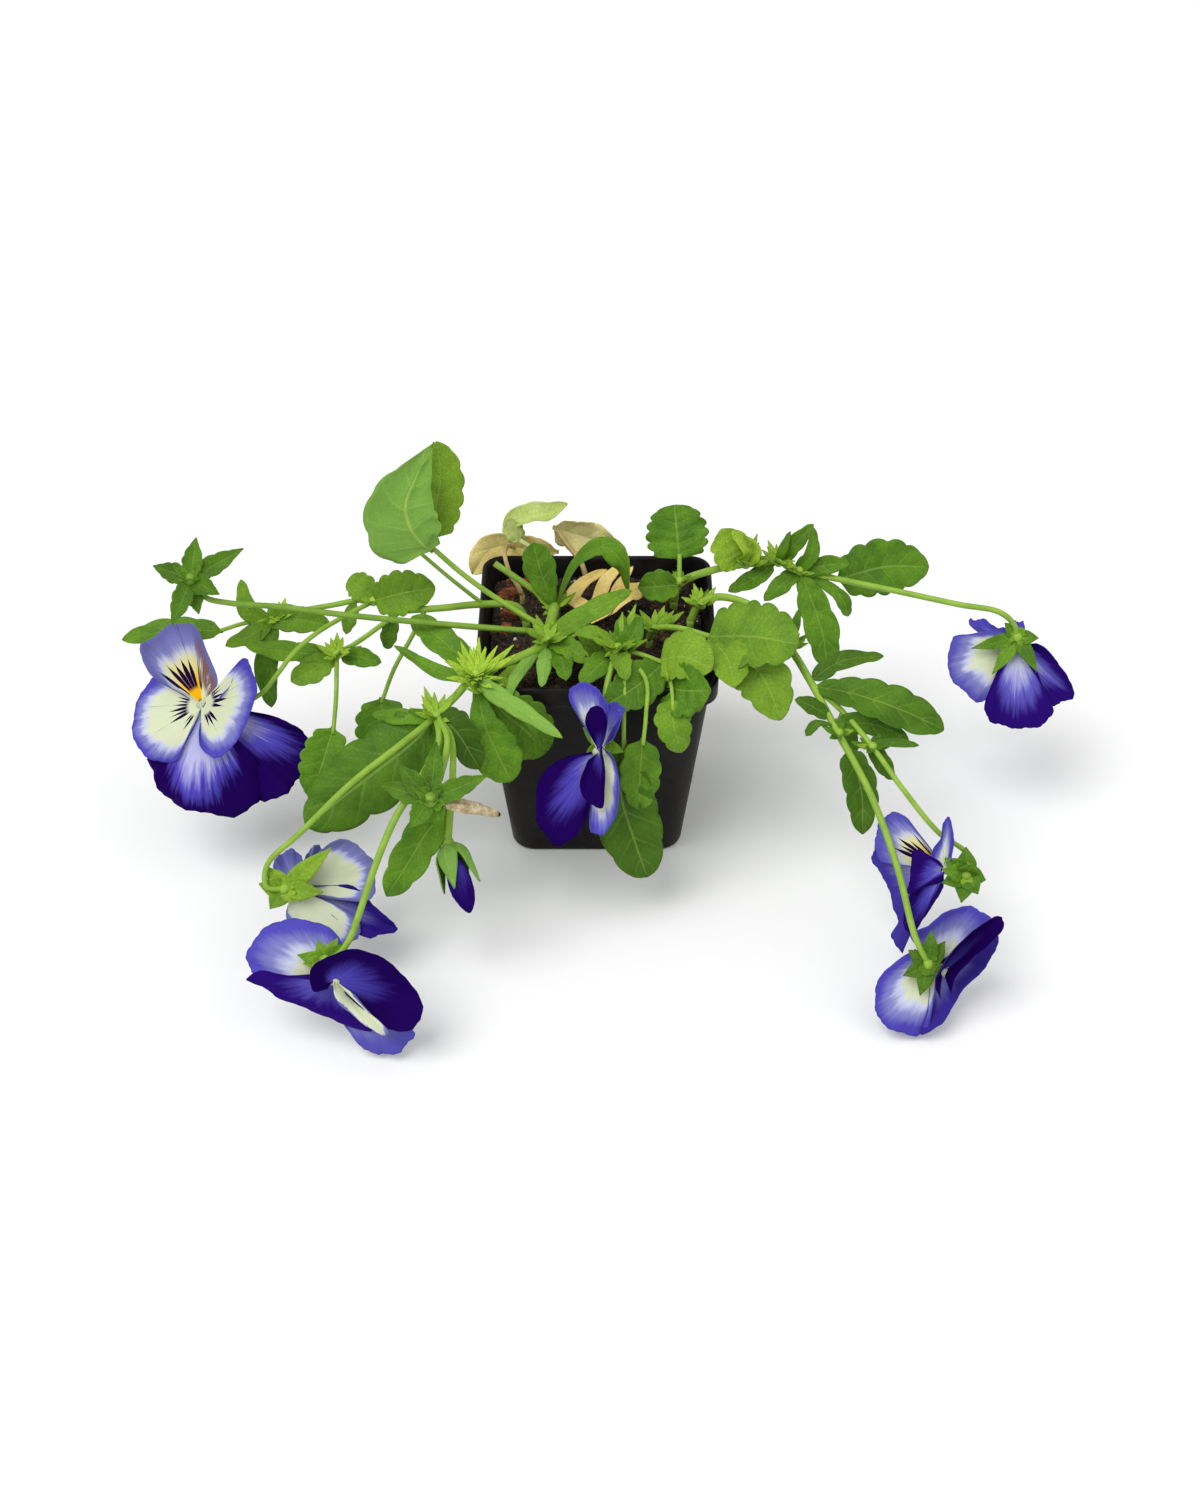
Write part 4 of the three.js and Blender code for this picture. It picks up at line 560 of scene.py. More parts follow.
# The faces of a closed thin slab between two grids of points of the same shape.
def slab_faces(rows, columns):
    total = rows * columns
    index = np.arange(total).reshape(rows, columns)
    quads = np.stack([index[:-1, :-1], index[:-1, 1:], index[1:, 1:], index[1:, :-1]], -1).reshape(-1, 4)
    rim = np.concatenate([index[0, :-1], index[:-1, -1], index[-1, :0:-1], index[:0:-1, 0]])
    after = np.roll(rim, -1)
    edge = np.stack([after, rim, rim + total, after + total], -1)
    return np.concatenate([quads, quads[:, ::-1] + total, edge])


# The faces of a closed tube of rings, capped with four-sided faces.
def tube_faces(rings, sides):
    index = np.arange(rings * sides).reshape(rings, sides)
    beside = np.roll(index, -1, axis=1)
    wall = np.stack([index[:-1], beside[:-1], beside[1:], index[1:]], -1).reshape(-1, 4)
    cap = np.array([(0, k, k + 1, k + 2) for k in range(1, sides - 1, 2)])
    return np.concatenate([wall, cap[:, ::-1], cap + index[-1, 0]])


# A stalk along a smooth path, four-ridged, that narrows from its first radius to its second.
def stalk(path, radii, sides=8, tone=0.15, ridge=0.08, finish="stem"):
    rough = smooth_path(path, np.linspace(0, 1, 30))
    count = max(3, int(np.linalg.norm(np.diff(rough, axis=0), axis=1).sum() / STALK_STEP))
    spine = smooth_path(path, np.linspace(0, 1, count + 1))
    along = unit(np.gradient(spine, axis=0))
    angle = np.linspace(0, 2 * math.pi, sides, endpoint=False)
    across = np.array((0.31, 0.22, 0.93))
    rings = []
    for i in range(count + 1):
        across = unit(across - along[i] * across.dot(along[i]))
        reach = (radii[0] + (radii[1] - radii[0]) * i / count) * (1 + ridge * np.cos(4 * angle))
        rings.append(spine[i] + np.outer(reach * np.cos(angle), across)
                     + np.outer(reach * np.sin(angle), np.cross(along[i], across)))
    return grown(np.concatenate(rings), tube_faces(count + 1, sides), finish, tone, hairy=STALK_DOWN)


# A round swelling: a joint of the stem, a receptacle or, ribbed, a seed pod.
def ball(at, radius, tone=0.0, squash=1.0, ribs=0):
    axis = unit(BALL_AXIS)
    across = unit(np.cross((1, 0, 0), axis))
    other = np.cross(axis, across)
    angle = np.linspace(0, 2 * math.pi, BALL_SIDES, endpoint=False)
    rings = []
    for lift in np.sin(np.linspace(-1.45, 1.45, BALL_RINGS)):
        wide = radius * math.sqrt(1 - lift * lift) * (1 + 0.08 * np.cos(ribs * angle) * (ribs > 0))
        rings.append(np.asarray(at) + axis * radius * squash * lift
                     + np.outer(wide * np.cos(angle), across) + np.outer(wide * np.sin(angle), other))
    return grown(np.concatenate(rings), tube_faces(BALL_RINGS, BALL_SIDES), "stem", tone, hairy=1.0)


# Half-width of a blade at u (0 at the stalk, 1 at the tip), widest at `peak`.
def outline(u, peak, fullness):
    return np.sin(math.pi * u ** (math.log(0.5) / math.log(peak))) ** fullness


# A leaf blade along a path: blunt teeth down both edges, a sunken midrib and side veins that
# run out to the teeth, edges that wave a little; left and right curl by their own angles.
def leaf(path, width, up=UPWARD, teeth=3, peak=0.45, fullness=0.6, cup=0.35, left=None, right=None,
         notch=0.8, tone=0.0, sharp=False, wave=0.07, hairy=0.1):
    half_count = 7 if width >= 10 else 4 if width >= 5 else 2
    count = max(10, teeth * 12) if width >= 5 else 10
    rows = max(teeth * 3 - 1, 3)
    u = np.linspace(0, 1, count + 1)
    spine = smooth_path(path, u)
    length = np.linalg.norm(np.diff(spine, axis=0), axis=1).sum()
    along = unit(np.gradient(spine, axis=0))
    side = unit(np.cross(along, up))
    normal = np.cross(side, along)
    draw = np.random.default_rng(int(abs(np.sum(spine[0] * (3, 5, 7))) * 10) + int(width * 10))
    jitter = draw.uniform(0, 2 * math.pi, 4)
    tone = tone + draw.uniform(-0.12, 0.12)
    crest = np.abs(np.sin(math.pi * (u * rows / 2 + 0.04 * np.sin(jitter[0] + 9 * u)))) ** 0.6
    tooth = 1 - (1 - notch) * 0.85 * (1 - crest)
    if sharp:
        half = width / 2 * np.maximum(outline(0.1 + 0.9 * u, peak, 1.0), 0) * tooth
    else:
        tip = np.sqrt(np.clip(1 - ((u - 0.9) / 0.101) ** 2, 0, 1))
        half = width / 2 * outline(0.04 + 0.93 * u, peak, fullness) * tooth * np.where(u > 0.9, tip, 1)
    base = np.clip(u / 0.09, 0, 1)
    half = half * base * base * (3 - 2 * base)
    half = np.maximum(half, np.where(u < 0.5, min(0.8, width * 0.12), 0.12))[:, None]
    v = np.linspace(-1, 1, 2 * half_count + 1)[None, :]
    away = np.abs(v)
    bend = np.where(v < 0, cup if left is None else left, cup if right is None else right) + 1e-6
    out = half * np.sign(v) * np.sin(bend * away) / bend
    rise = half * (1 - np.cos(bend * away)) / bend
    ribs = rows / 2 * (u[:, None] + 0.17 * (1 - away))
    to_rib = np.abs(ribs % 1 - 0.5) * 2 * length / rows
    big = min(1.0, width / 22)
    quilt = QUILTING * big * (1 - np.exp(-((to_rib / 1.6) ** 2))) * (1 - away**4)
    crease = -CREASE * big * np.exp(-((half * away / (1.3 * big + 0.2)) ** 2))
    side_phase = np.where(v < 0, jitter[1], jitter[2])
    ripple = wave * half * away**2 * (np.sin(2 * math.pi * 1.6 * u[:, None] + side_phase)
                                      + 0.45 * np.sin(2 * math.pi * 3.7 * u[:, None] + 2 * side_phase))
    lean = unit(normal[:, None, :] - side[:, None, :] * (np.sign(v) * np.tan(bend * away * 0.6))[..., None])
    face = (spine[:, None, :] + side[:, None, :] * out[..., None] + normal[:, None, :] * rise[..., None]
            + lean * (quilt + crease + ripple)[..., None])
    rib = MIDRIB * big * np.exp(-((half * away / (MIDRIB * big + 0.2)) ** 2)) * (1 - 0.8 * u[:, None])
    thick = BLADE_EDGE + BLADE_BODY * (1 - away) + rib
    under = face - lean * thick[..., None]
    points = np.concatenate([face.reshape(-1, 3), under.reshape(-1, 3)])
    n = face.shape[0] * face.shape[1]
    below = np.repeat([0.0, 1.0], n)
    place = np.stack([ribs / 20 + 0 * v, 0.5 + 0.5 * v + 0 * ribs], -1).reshape(-1, 2)
    return grown(points, slab_faces(*face.shape[:2]), "leaf", tone, below, hairy, np.tile(place, (2, 1)))


# The foot of a stem in its hole in the soil, and the point where the rest grows on from it.
def foot(name):
    (x, y), radius = FEET[name]
    path = [(x, y, SOIL_TOP - ROOT_DEPTH), (x, y, SOIL_TOP - FOOT_RISE), (x, y, SOIL_TOP + FOOT_RISE)]
    return stalk(path, (radius, radius), tone=0.2)


def foot_top(name):
    (x, y), _ = FEET[name]
    return (x, y, SOIL_TOP + FOOT_RISE - 0.5)


# Draws shares from 0 to 1 by the rule that the solids are drawn by, so both grow alike.
def seeded(seed):
    state = seed
    while True:
        state = (state * 1664525 + 1013904223) % 2**32
        yield state / 2**32


# The lobed leafy stipules round a joint of the stem: each long lobe with shorter ones beside it.
def stipules(at, count, length, seed, tone=0.8, crowd=3, breadth=1.7):
    draw, centre = seeded(seed), np.array(at, float)
    across = unit(np.cross((0.6, -0.5, 0.3), (0, 0, 1)))
    other = np.cross((0, 0, 1), across)
    lobes = [ball(centre, 1.9, tone=tone)]
    for k in range(count):
        angle = 2 * math.pi * (k + 0.5 * next(draw)) / count
        reach = length * (0.7 + 0.5 * next(draw))
        climb = 0.15 + 0.7 * next(draw)
        for twin in range(crowd):
            turn = angle + (0, 0.34, -0.36, 0.62, -0.6)[twin]
            far = reach * (1, 0.72, 0.66, 0.5, 0.45)[twin]
            heading = across * math.cos(turn) + other * math.sin(turn) + np.array((0, 0, climb + 0.12 * twin))
            path = [centre + heading * 0.9, centre + heading * far * 0.55 - (0, 0, 0.08 * far),
                    centre + heading * far]
            lobes.append(leaf(path, breadth + 0.12 * far, up=(0, -0.4, 0.9), teeth=1, notch=1, peak=0.5,
                              sharp=True, tone=tone, hairy=0.9))
    return lobes


# Places points given on the leaning sheet of a bloom: x right, y up the sheet, z out of it.
def on_sheet(letter, point):
    up = np.array((0, math.sin(SHEET_LEAN), math.cos(SHEET_LEAN)))
    out = np.array((0, -math.cos(SHEET_LEAN), math.sin(SHEET_LEAN)))
    x, y, z = point
    return np.array(HEADS[letter]["at"], float) + (x, 0, 0) + up * y + out * z


# One pointed sepal, hairy all over.
def sepal(path, width, up, tone=0.1, teeth=1, cup=0.25):
    return leaf(path, width, up=up, teeth=teeth, notch=1 if teeth == 1 else 0.8, peak=0.4, cup=cup, tone=tone,
                sharp=True, hairy=1.0, wave=0.03)


# The green cup behind a bloom: sepals with blunt backward lobes on a small receptacle.
def calyx(letter):
    head = HEADS[letter]
    centre = on_sheet(letter, head["calyx"])
    out = on_sheet(letter, (0, 0, 1)) - on_sheet(letter, (0, 0, 0))
    parts = [ball(centre, CALYX_RADIUS * 1.02, tone=0.3)]
    for tip in head["sepals"]:
        end = on_sheet(letter, tip)
        middle = centre + (end - centre) * 0.5 + out * 0.8
        heading = unit(end - centre)
        width = SEPAL_WIDTH.get(letter, 5.0)
        shade = SEPAL_TONE.get(letter, 0.1)
        parts.append(sepal([centre + heading * 1.0, middle, end], width, out, tone=shade))
        lobe = BACK_LOBE.get(letter, 4.2)
        back = centre - heading * lobe + out * 1.1
        parts.append(leaf([centre + heading * 0.5, centre - heading * 0.52 * lobe + out * 1.2, back],
                          0.8 * width, up=out, teeth=2, peak=0.6, tone=shade + 0.15, hairy=1.0))
    return parts


# The calyx left when a bloom has dropped: the round seed pod and the spread sepals.
def spent_calyx(at, radius, tips):
    centre = np.array(at, float)
    parts = [ball(centre, radius * 0.8, tone=-0.3, ribs=3, squash=1.1)]
    parts += stipules(centre + np.array(FORWARD) * radius * 0.4, 5, 5, 61, tone=0.0, crowd=3)
    for tip in tips:
        heading = unit(np.subtract(tip, centre))
        middle = centre + (np.array(tip) - centre) * 0.55
        parts.append(sepal([centre + heading * 1.4, middle, tip], 8.5, FORWARD, tone=-0.2, teeth=3, cup=0.7))
        back = [centre + heading * 0.4, centre - heading * radius * 0.9, centre - heading * (radius + 1.6)]
        parts.append(leaf(back, 3.0, up=FORWARD, teeth=1, notch=1, peak=0.6, tone=0.05, hairy=1.0))
    return parts


# Paler veins on a blade: the midrib, the side veins out to the teeth, and a fine net.
def vein_group():
    tree = bpy.data.node_groups.new("veins", "ShaderNodeTree")
    for name, kind in (("Place", "NodeSocketVector"), ("Blade", "NodeSocketVector"),
                       ("Net", "NodeSocketFloat")):
        tree.interface.new_socket(name, in_out="INPUT", socket_type=kind)
    for name in ("Veins", "Net"):
        tree.interface.new_socket(name, in_out="OUTPUT", socket_type="NodeSocketFloat")
    inside = tree.nodes.new("NodeGroupInput").outputs
    out = tree.nodes.new("NodeGroupOutput")
    axes = node(tree, "SeparateXYZ", inside["Blade"]).outputs
    away = maths(tree, "ABSOLUTE", maths(tree, "MULTIPLY_ADD", axes[1], 2.0, -1.0))
    noise = node(tree, "TexNoise", at={"Vector": inside["Place"], "Scale": 260.0}).outputs[0]
    wobble = maths(tree, "MULTIPLY_ADD", noise, 0.16, -0.08)
    ribs = maths(tree, "ADD", maths(tree, "MULTIPLY", axes[0], 20.0), wobble)
    to_rib = maths(tree, "ABSOLUTE", maths(tree, "SUBTRACT", maths(tree, "FRACT", ribs), 0.5))
    side = maths(tree, "MULTIPLY", between(tree, to_rib, 0.075, 0.012),
                 maths(tree, "MULTIPLY_ADD", away, -0.75, 0.85))
    middle = maths(tree, "MULTIPLY", between(tree, away, 0.06, 0.015), 1.5)
    thirds = maths(tree, "FRACT", maths(tree, "MULTIPLY", ribs, 3.0))
    to_third = maths(tree, "ABSOLUTE", maths(tree, "SUBTRACT", thirds, 0.5))
    small = maths(tree, "MULTIPLY", between(tree, to_third, 0.10, 0.02), 0.22)
    tree.links.new(maths(tree, "MAXIMUM", maths(tree, "MAXIMUM", side, middle), small), out.inputs[0])
    cells = node(tree, "TexVoronoi", feature="DISTANCE_TO_EDGE",
                 at={"Vector": inside["Place"], "Scale": inside["Net"]})
    tree.links.new(between(tree, cells.outputs[0], 0.12, 0.0), out.inputs[1])
    return tree


VEINS = vein_group()


# A leaf's colour runs from dark to light in patches and to bright by its tone; its underside
# is the colour below, and the veins are paler and stand in relief.
def leaf_material(name, dark, light, bright, below, rough=0.46):
    made, tree, shader, place = new_material(name, Specular_IOR_Level=0.16)
    blade = node(tree, "UVMap", uv_map="blade").outputs[0]
    veins = node(tree, "Group", place, blade, 620.0, node_tree=VEINS).outputs
    tone = node(tree, "Attribute", attribute_name="tone").outputs["Fac"]
    under = node(tree, "Attribute", attribute_name="underside").outputs["Fac"]
    patches = mottle(tree, place, 95, 0.3, 0.7)
    body = blend_colour(tree, patches, dark, light)
    body = blend_colour(tree, maths(tree, "MAXIMUM", tone, 0.0), body, bright)
    shade = maths(tree, "MULTIPLY", tone, -1.0, clamp=True)
    body = blend_colour(tree, shade, body, tuple(c * 0.42 for c in dark))
    body = blend_colour(tree, maths(tree, "MULTIPLY", veins[1], 0.22), body, tuple(c * 0.5 for c in dark))
    body = blend_colour(tree, maths(tree, "MULTIPLY", under, 0.72), body, below)
    vein_colour = tuple(0.5 * a + 0.5 * b for a, b in zip(bright, (0.42, 0.56, 0.20)))
    strength = maths(tree, "MULTIPLY", veins[0], maths(tree, "MULTIPLY_ADD", under, 0.14, 0.15))
    tree.links.new(blend_colour(tree, strength, body, vein_colour), shader.inputs["Base Color"])
    dull = maths(tree, "MULTIPLY_ADD", patches, 0.12, rough)
    tree.links.new(maths(tree, "MULTIPLY_ADD", under, 0.16, dull), shader.inputs["Roughness"])
    height = maths(tree, "SUBTRACT", maths(tree, "MULTIPLY", veins[1], -0.35),
                   maths(tree, "MULTIPLY", veins[0], 0.6))
    relief(tree, shader, height, 0.5, 0.0004)
    return made


def stem_material(name, dark, light, bright):
    made, tree, shader, place = new_material(name, Specular_IOR_Level=0.25, Roughness=0.45)
    tone = node(tree, "Attribute", attribute_name="tone").outputs["Fac"]
    body = blend_colour(tree, mottle(tree, place, 130), dark, light)
    body = blend_colour(tree, maths(tree, "MAXIMUM", tone, 0.0), body, bright)
    shade = maths(tree, "MULTIPLY", tone, -1.0, clamp=True)
    body = blend_colour(tree, shade, body, tuple(c * 0.4 for c in dark))
    tree.links.new(body, shader.inputs["Base Color"])
    relief(tree, shader, mottle(tree, place, 1500), 0.25, 0.0003)
    return made


# Makes one mesh of grown parts, with the attributes and materials of each.
def joined(name, parts, finishes):
    sizes = [len(p["points"]) for p in parts]
    starts = np.cumsum([0] + sizes[:-1])
    faces = np.concatenate([p["faces"] + s for p, s in zip(parts, starts)])
    made = mesh_object(name, np.concatenate([p["points"] for p in parts]), faces.tolist())
    mesh, keys = made.data, list(finishes)
    for finish in finishes.values():
        mesh.materials.append(finish)
    mesh.polygons.foreach_set("material_index", np.concatenate(
        [np.full(len(p["faces"]), keys.index(p["finish"]), np.int32) for p in parts]))
    for mark in ("tone", "underside", "hairy"):
        layer = mesh.attributes.new(mark, "FLOAT", "POINT")
        layer.data.foreach_set("value", np.concatenate([p[mark] for p in parts]).astype(np.float32))
    corners = np.empty(len(mesh.loops), np.int32)
    mesh.loops.foreach_get("vertex_index", corners)
    places = np.concatenate([p["blade"] for p in parts])[corners]
    mesh.uv_layers.new(name="blade").data.foreach_set("uv", places.astype(np.float32).ravel())
    return made


LEAF = leaf_material("pansy_leaf", (0.056, 0.155, 0.006), (0.118, 0.270, 0.012), (0.44, 0.66, 0.050),
                     (0.195, 0.385, 0.070))
STEM = stem_material("pansy_stem", (0.18, 0.35, 0.030), (0.26, 0.44, 0.046), (0.42, 0.60, 0.08))


# The four sepals folded over the closed bud.
def bud_sepals():
    base = np.array(BUD["base"], float)
    axis = unit(np.subtract(BUD["tip"], base))
    start = unit(np.cross((1, 0.2, 0), axis))
    parts = []
    for k in range(4):
        turn = math.pi * (k + 0.3) / 2
        away = start * math.cos(turn) + np.cross(axis, start) * math.sin(turn)
        radius = BUD["radius"]
        steps = ((0, 0), (4, radius + 1.0), (10, radius + 2.0), (17, radius + 2.4))
        path = [base + axis * a + away * o for a, o in steps]
        parts.append(sepal(path, 8.5, -away, tone=-0.25, cup=0.7))
    return parts


def stem_left():
    start = foot_top("stem_left")
    return [
        foot("stem_left"),
        stalk([start, (-31, 6, 89), (-44, 3, 92), (-59, -1, 93), (-75, 0, 91)], (1.6, 1.3)),
        stalk([(-75, 0, 91), (-86, 6, 92), (-102, 5, 90), (-117, 3, 88), (-127, 1, 86)], (1.1, 0.9)),
        stalk([(-74, 0, 91), (-80, -3, 88), (-89, -9, 84), (-98, -13, 80)], (1.1, 1.0)),
        stalk([(-85, 5, 92), (-97, -7, 92), (-105, -15, 91), (-113, -20, 86), (-120, -22, 77),
            (-127, -22, 68), (-137, -22, 63), (-145.5, -22, 62)], (1.0, 1.0)),
        *calyx("a"),
        stalk([(-43, 3, 92), (-55, 4, 103), (-68, 5, 116)], (0.8, 0.7)),
        leaf([(-85, 6, 93), (-90, 9, 96), (-95, 13, 97)], 12, up=FORWARD),
        leaf([(-85, 4, 93), (-73, 2, 98), (-61, 4, 99)], 18, up=FORWARD, teeth=4),
        leaf([(-77, -1, 90), (-79, -3, 82), (-80, -4, 76)], 7, up=FORWARD, teeth=2),
        leaf([(-92, 5.5, 91), (-94, 0, 87), (-95, -5, 84)], 6, up=FORWARD, teeth=2),
        leaf([(-125, 1, 86), (-132, 1, 90), (-135, 8, 100)], 8, up=FORWARD, teeth=2),
        leaf([(-127, 1, 87), (-114, -1, 88), (-101, -1, 85)], 11, up=FORWARD, teeth=3),
        stalk([(-126, 1, 86), (-134, -1, 86), (-143, -3, 84)], (0.9, 0.8)),
        leaf([(-142, -3, 84), (-162, -3, 84), (-181, -3, 80)], 11, teeth=3),
        leaf([(-126, 1, 86), (-129, -4, 84), (-141, -7, 80)], 9, teeth=2),
        leaf([(-99, -13, 80), (-116, -14, 82), (-132, -13, 84)], 9, teeth=2),
        leaf([(-124, 1, 86), (-124, -8, 81), (-123, -15, 68)], 8, up=FORWARD, teeth=2),
        leaf([(-122, 2, 86), (-126, -8, 74), (-125, -13, 55)], 9, up=FORWARD, teeth=2, peak=0.6),
        leaf([(-99, -14, 80), (-105, -18, 78), (-115, -22, 74)], 11, up=FORWARD, teeth=3, peak=0.55),
        leaf([(-97, -13, 80), (-89, -16, 81), (-81, -18, 80)], 8, up=FORWARD, teeth=2),
        stalk([(-98, -14, 80), (-98, -26, 69), (-99, -35, 59)], (0.9, 0.8)),
        leaf([(-99, -33, 61), (-103, -43, 51), (-107, -52, 42)], 18, up=FORWARD, teeth=4),
        stalk([(-65, -1, 92), (-70, -7, 84), (-77, -11, 72), (-82, -18, 61)], (0.9, 0.8)),
        leaf([(-82, -17, 63), (-81, -26, 53), (-78, -33, 44)], 22, up=FORWARD, teeth=4),
        *stipules((-98, -13, 80), 5, 9, 11),
        *stipules((-121, 2, 87), 4, 7, 12),
        *stipules((-85, 5, 92), 3, 6, 13),
    ]


def stem_front_left():
    start = foot_top("stem_front_left")
    return [
        foot("stem_front_left"),
        stalk([start, (-16, 6, 89), (-17, -8, 92), (-20, -25, 93), (-33, -36, 93), (-44, -41, 91),
            (-51, -50, 88), (-58, -57, 84)], (2.1, 1.4)),
        *stipules((-44, -41, 91), 12, 13, 21, tone=0.9, crowd=5, breadth=1.1),
        *stipules((-58, -57, 84), 5, 9, 22, tone=0.5),
        *stipules((-41, -46, 87), 5, 11, 25, tone=0.8, breadth=1.1),
        *stipules((-18, -22, 93), 6, 11, 23, tone=0.4),
        *stipules((-16, 5, 89), 3, 10, 24, tone=0.6),
        # tall leaf, seen from below, its far edge rolled over
        stalk([(-18, -14, 92), (-25, -14, 97), (-36, -12, 104), (-49, -10, 114), (-60, -9, 125)], (1.1, 0.9)),
        leaf([(-60, -9, 124), (-66.5, -9, 132), (-69.3, -7, 142), (-65, -3, 153), (-58.5, 1, 164)], 34,
             up=(0, 0.95, 0.1), teeth=4, left=-1.2, right=-0.35, notch=0.88, fullness=1.25, peak=0.34,
             tone=0.1),
        leaf([(-60, -5, 126), (-58.5, -2.5, 138), (-56.5, 0.5, 150), (-57.5, 3.5, 162.5)], 19,
             up=(0.25, -0.95, 0.3), teeth=4, cup=0.3, fullness=0.5, tone=0.16),
        # long stalk to the spent bloom at the far left
        stalk([(-19, -17, 93), (-43, -18, 96), (-65, -19, 99), (-95, -21, 104), (-116, -22, 108),
            (-134, -24, 111), (-143, -23, 113), (-148, -20, 119)], (1.2, 1.0), tone=-0.3),
        *spent_calyx((-148, -20, 119), 3,
            [(-146, -11, 131), (-129, -12, 127), (-137, -27, 117), (-162, -16, 122), (-154, -34, 108),
                (-145, -28, 109)]),
        # leaves of the crown
        leaf([(-18.5, -20, 92.5), (0, -16, 103), (13, -11, 108)], 9, teeth=2, peak=0.4),
        leaf([(-16, 5, 89), (-19, 7, 97), (-22, 11, 105), (-24, 15, 112)], 13, up=FORWARD, teeth=3,
             peak=0.65),
        leaf([(-16, 5, 89), (-7, 8, 108), (3, 6, 116), (10, 3, 110), (12, 2, 98)], 9,
             up=(-0.6, -0.3, 0.7), teeth=3, peak=0.6, cup=0.6),
        stalk([(-16, 6, 89), (-22, 10, 92), (-39, 19, 100)], (1.3, 1.2)),
        # leaves of the tuft
        leaf([(-44, -41, 91), (-50, -30, 91), (-60, -20, 94), (-69, -12, 97)], 12, teeth=3, peak=0.6),
        leaf([(-44, -41, 91), (-55, -38, 89), (-75, -24, 92)], 6, teeth=2),
        leaf([(-44, -41, 91), (-38, -52, 92), (-25, -62, 89), (-12, -71, 85)], 7, up=BACKWARD, teeth=3,
             tone=0.35),
        leaf([(-21, -26, 93), (-26, -36, 92), (-30, -44, 91), (-33, -52, 85)], 5, up=BACKWARD, teeth=2,
             tone=0.3),
        leaf([(-19, -25, 92), (-19, -36, 93), (-20, -46, 89)], 6, up=BACKWARD, teeth=2, tone=0.2),
        leaf([(-17, -23, 92), (-13, -34, 93), (-11, -44, 91)], 9, teeth=3, tone=-0.2),
        leaf([(-24, -30, 92), (-33, -42, 90), (-40, -50, 84)], 6, teeth=2, tone=0.5),
        leaf([(-17, -22, 93), (-10, -30, 95), (-3, -36, 93)], 9, teeth=3, tone=0.2),
        leaf([(-44, -41, 91), (-41, -56, 82), (-37, -61, 73), (-31, -66, 61)], 18, up=FORWARD, teeth=4,
             peak=0.7),
        leaf([(-44, -41, 91), (-35, -50, 82), (-27, -51, 74), (-18, -51, 63)], 24, up=FORWARD, teeth=4,
             peak=0.6),
        leaf([(-40, -45, 87), (-24, -54, 79), (-20, -56, 68)], 4, up=FORWARD, teeth=2),
        # leaves at the fork
        leaf([(-57, -57, 85), (-50, -64, 82), (-42, -70, 70)], 15, up=FORWARD, teeth=3, tone=-0.7),
        leaf([(-58, -57, 84), (-70, -56, 83), (-82, -50, 80)], 7, teeth=2),
        leaf([(-58, -57, 84), (-65, -61, 77), (-85, -70, 64), (-106, -77, 49)], 29, up=FORWARD, teeth=4,
             peak=0.55, fullness=0.5, cup=-0.25, tone=-0.3),
        # stalks of blooms b and c
        stalk([(-58, -57, 84), (-70, -71, 82), (-87, -83, 74), (-106, -89, 56), (-118, -95, 46),
            on_sheet("b", (-6, 1, 3)), on_sheet("b", (0, 0, 0))], (1.3, 1.0)),
        *calyx("b"),
        stalk([(-58, -57, 84), (-56, -72, 84), (-63, -90, 79), (-70, -99, 72), (-77, -111, 60),
            (-83, -122, 46), on_sheet("c", (7, 10, 3)), on_sheet("c", (4, 6, 3)),
            on_sheet("c", HEADS["c"]["calyx"])], (1.3, 1.0)),
        *calyx("c"),
        # spent calyx in front, and the stalk of the bud with its leaf
        stalk([(-58, -57, 84), (-53, -72, 86), (-54, -86, 83), (-58, -97, 78)], (1.2, 1.1)),
        *spent_calyx((-58, -97, 78), 3.6,
            [(-56, -82, 92), (-69, -88, 86), (-76, -91, 80), (-38, -91, 84), (-65, -104, 71),
             (-54, -101, 70)]),
        stalk([(-58, -57, 84), (-52, -68, 83), (-51, -81, 76), (-52, -89, 64), BUD["base"]], (1.2, 1.3)),
        leaf([(-52, -87, 66), (-60, -90, 58), (-68, -98, 48), (-75, -104, 39)], 15, up=FORWARD, teeth=3,
             peak=0.5),
        ball(BUD["base"], 2.2, tone=0.1),
        *bud_sepals(),
    ]


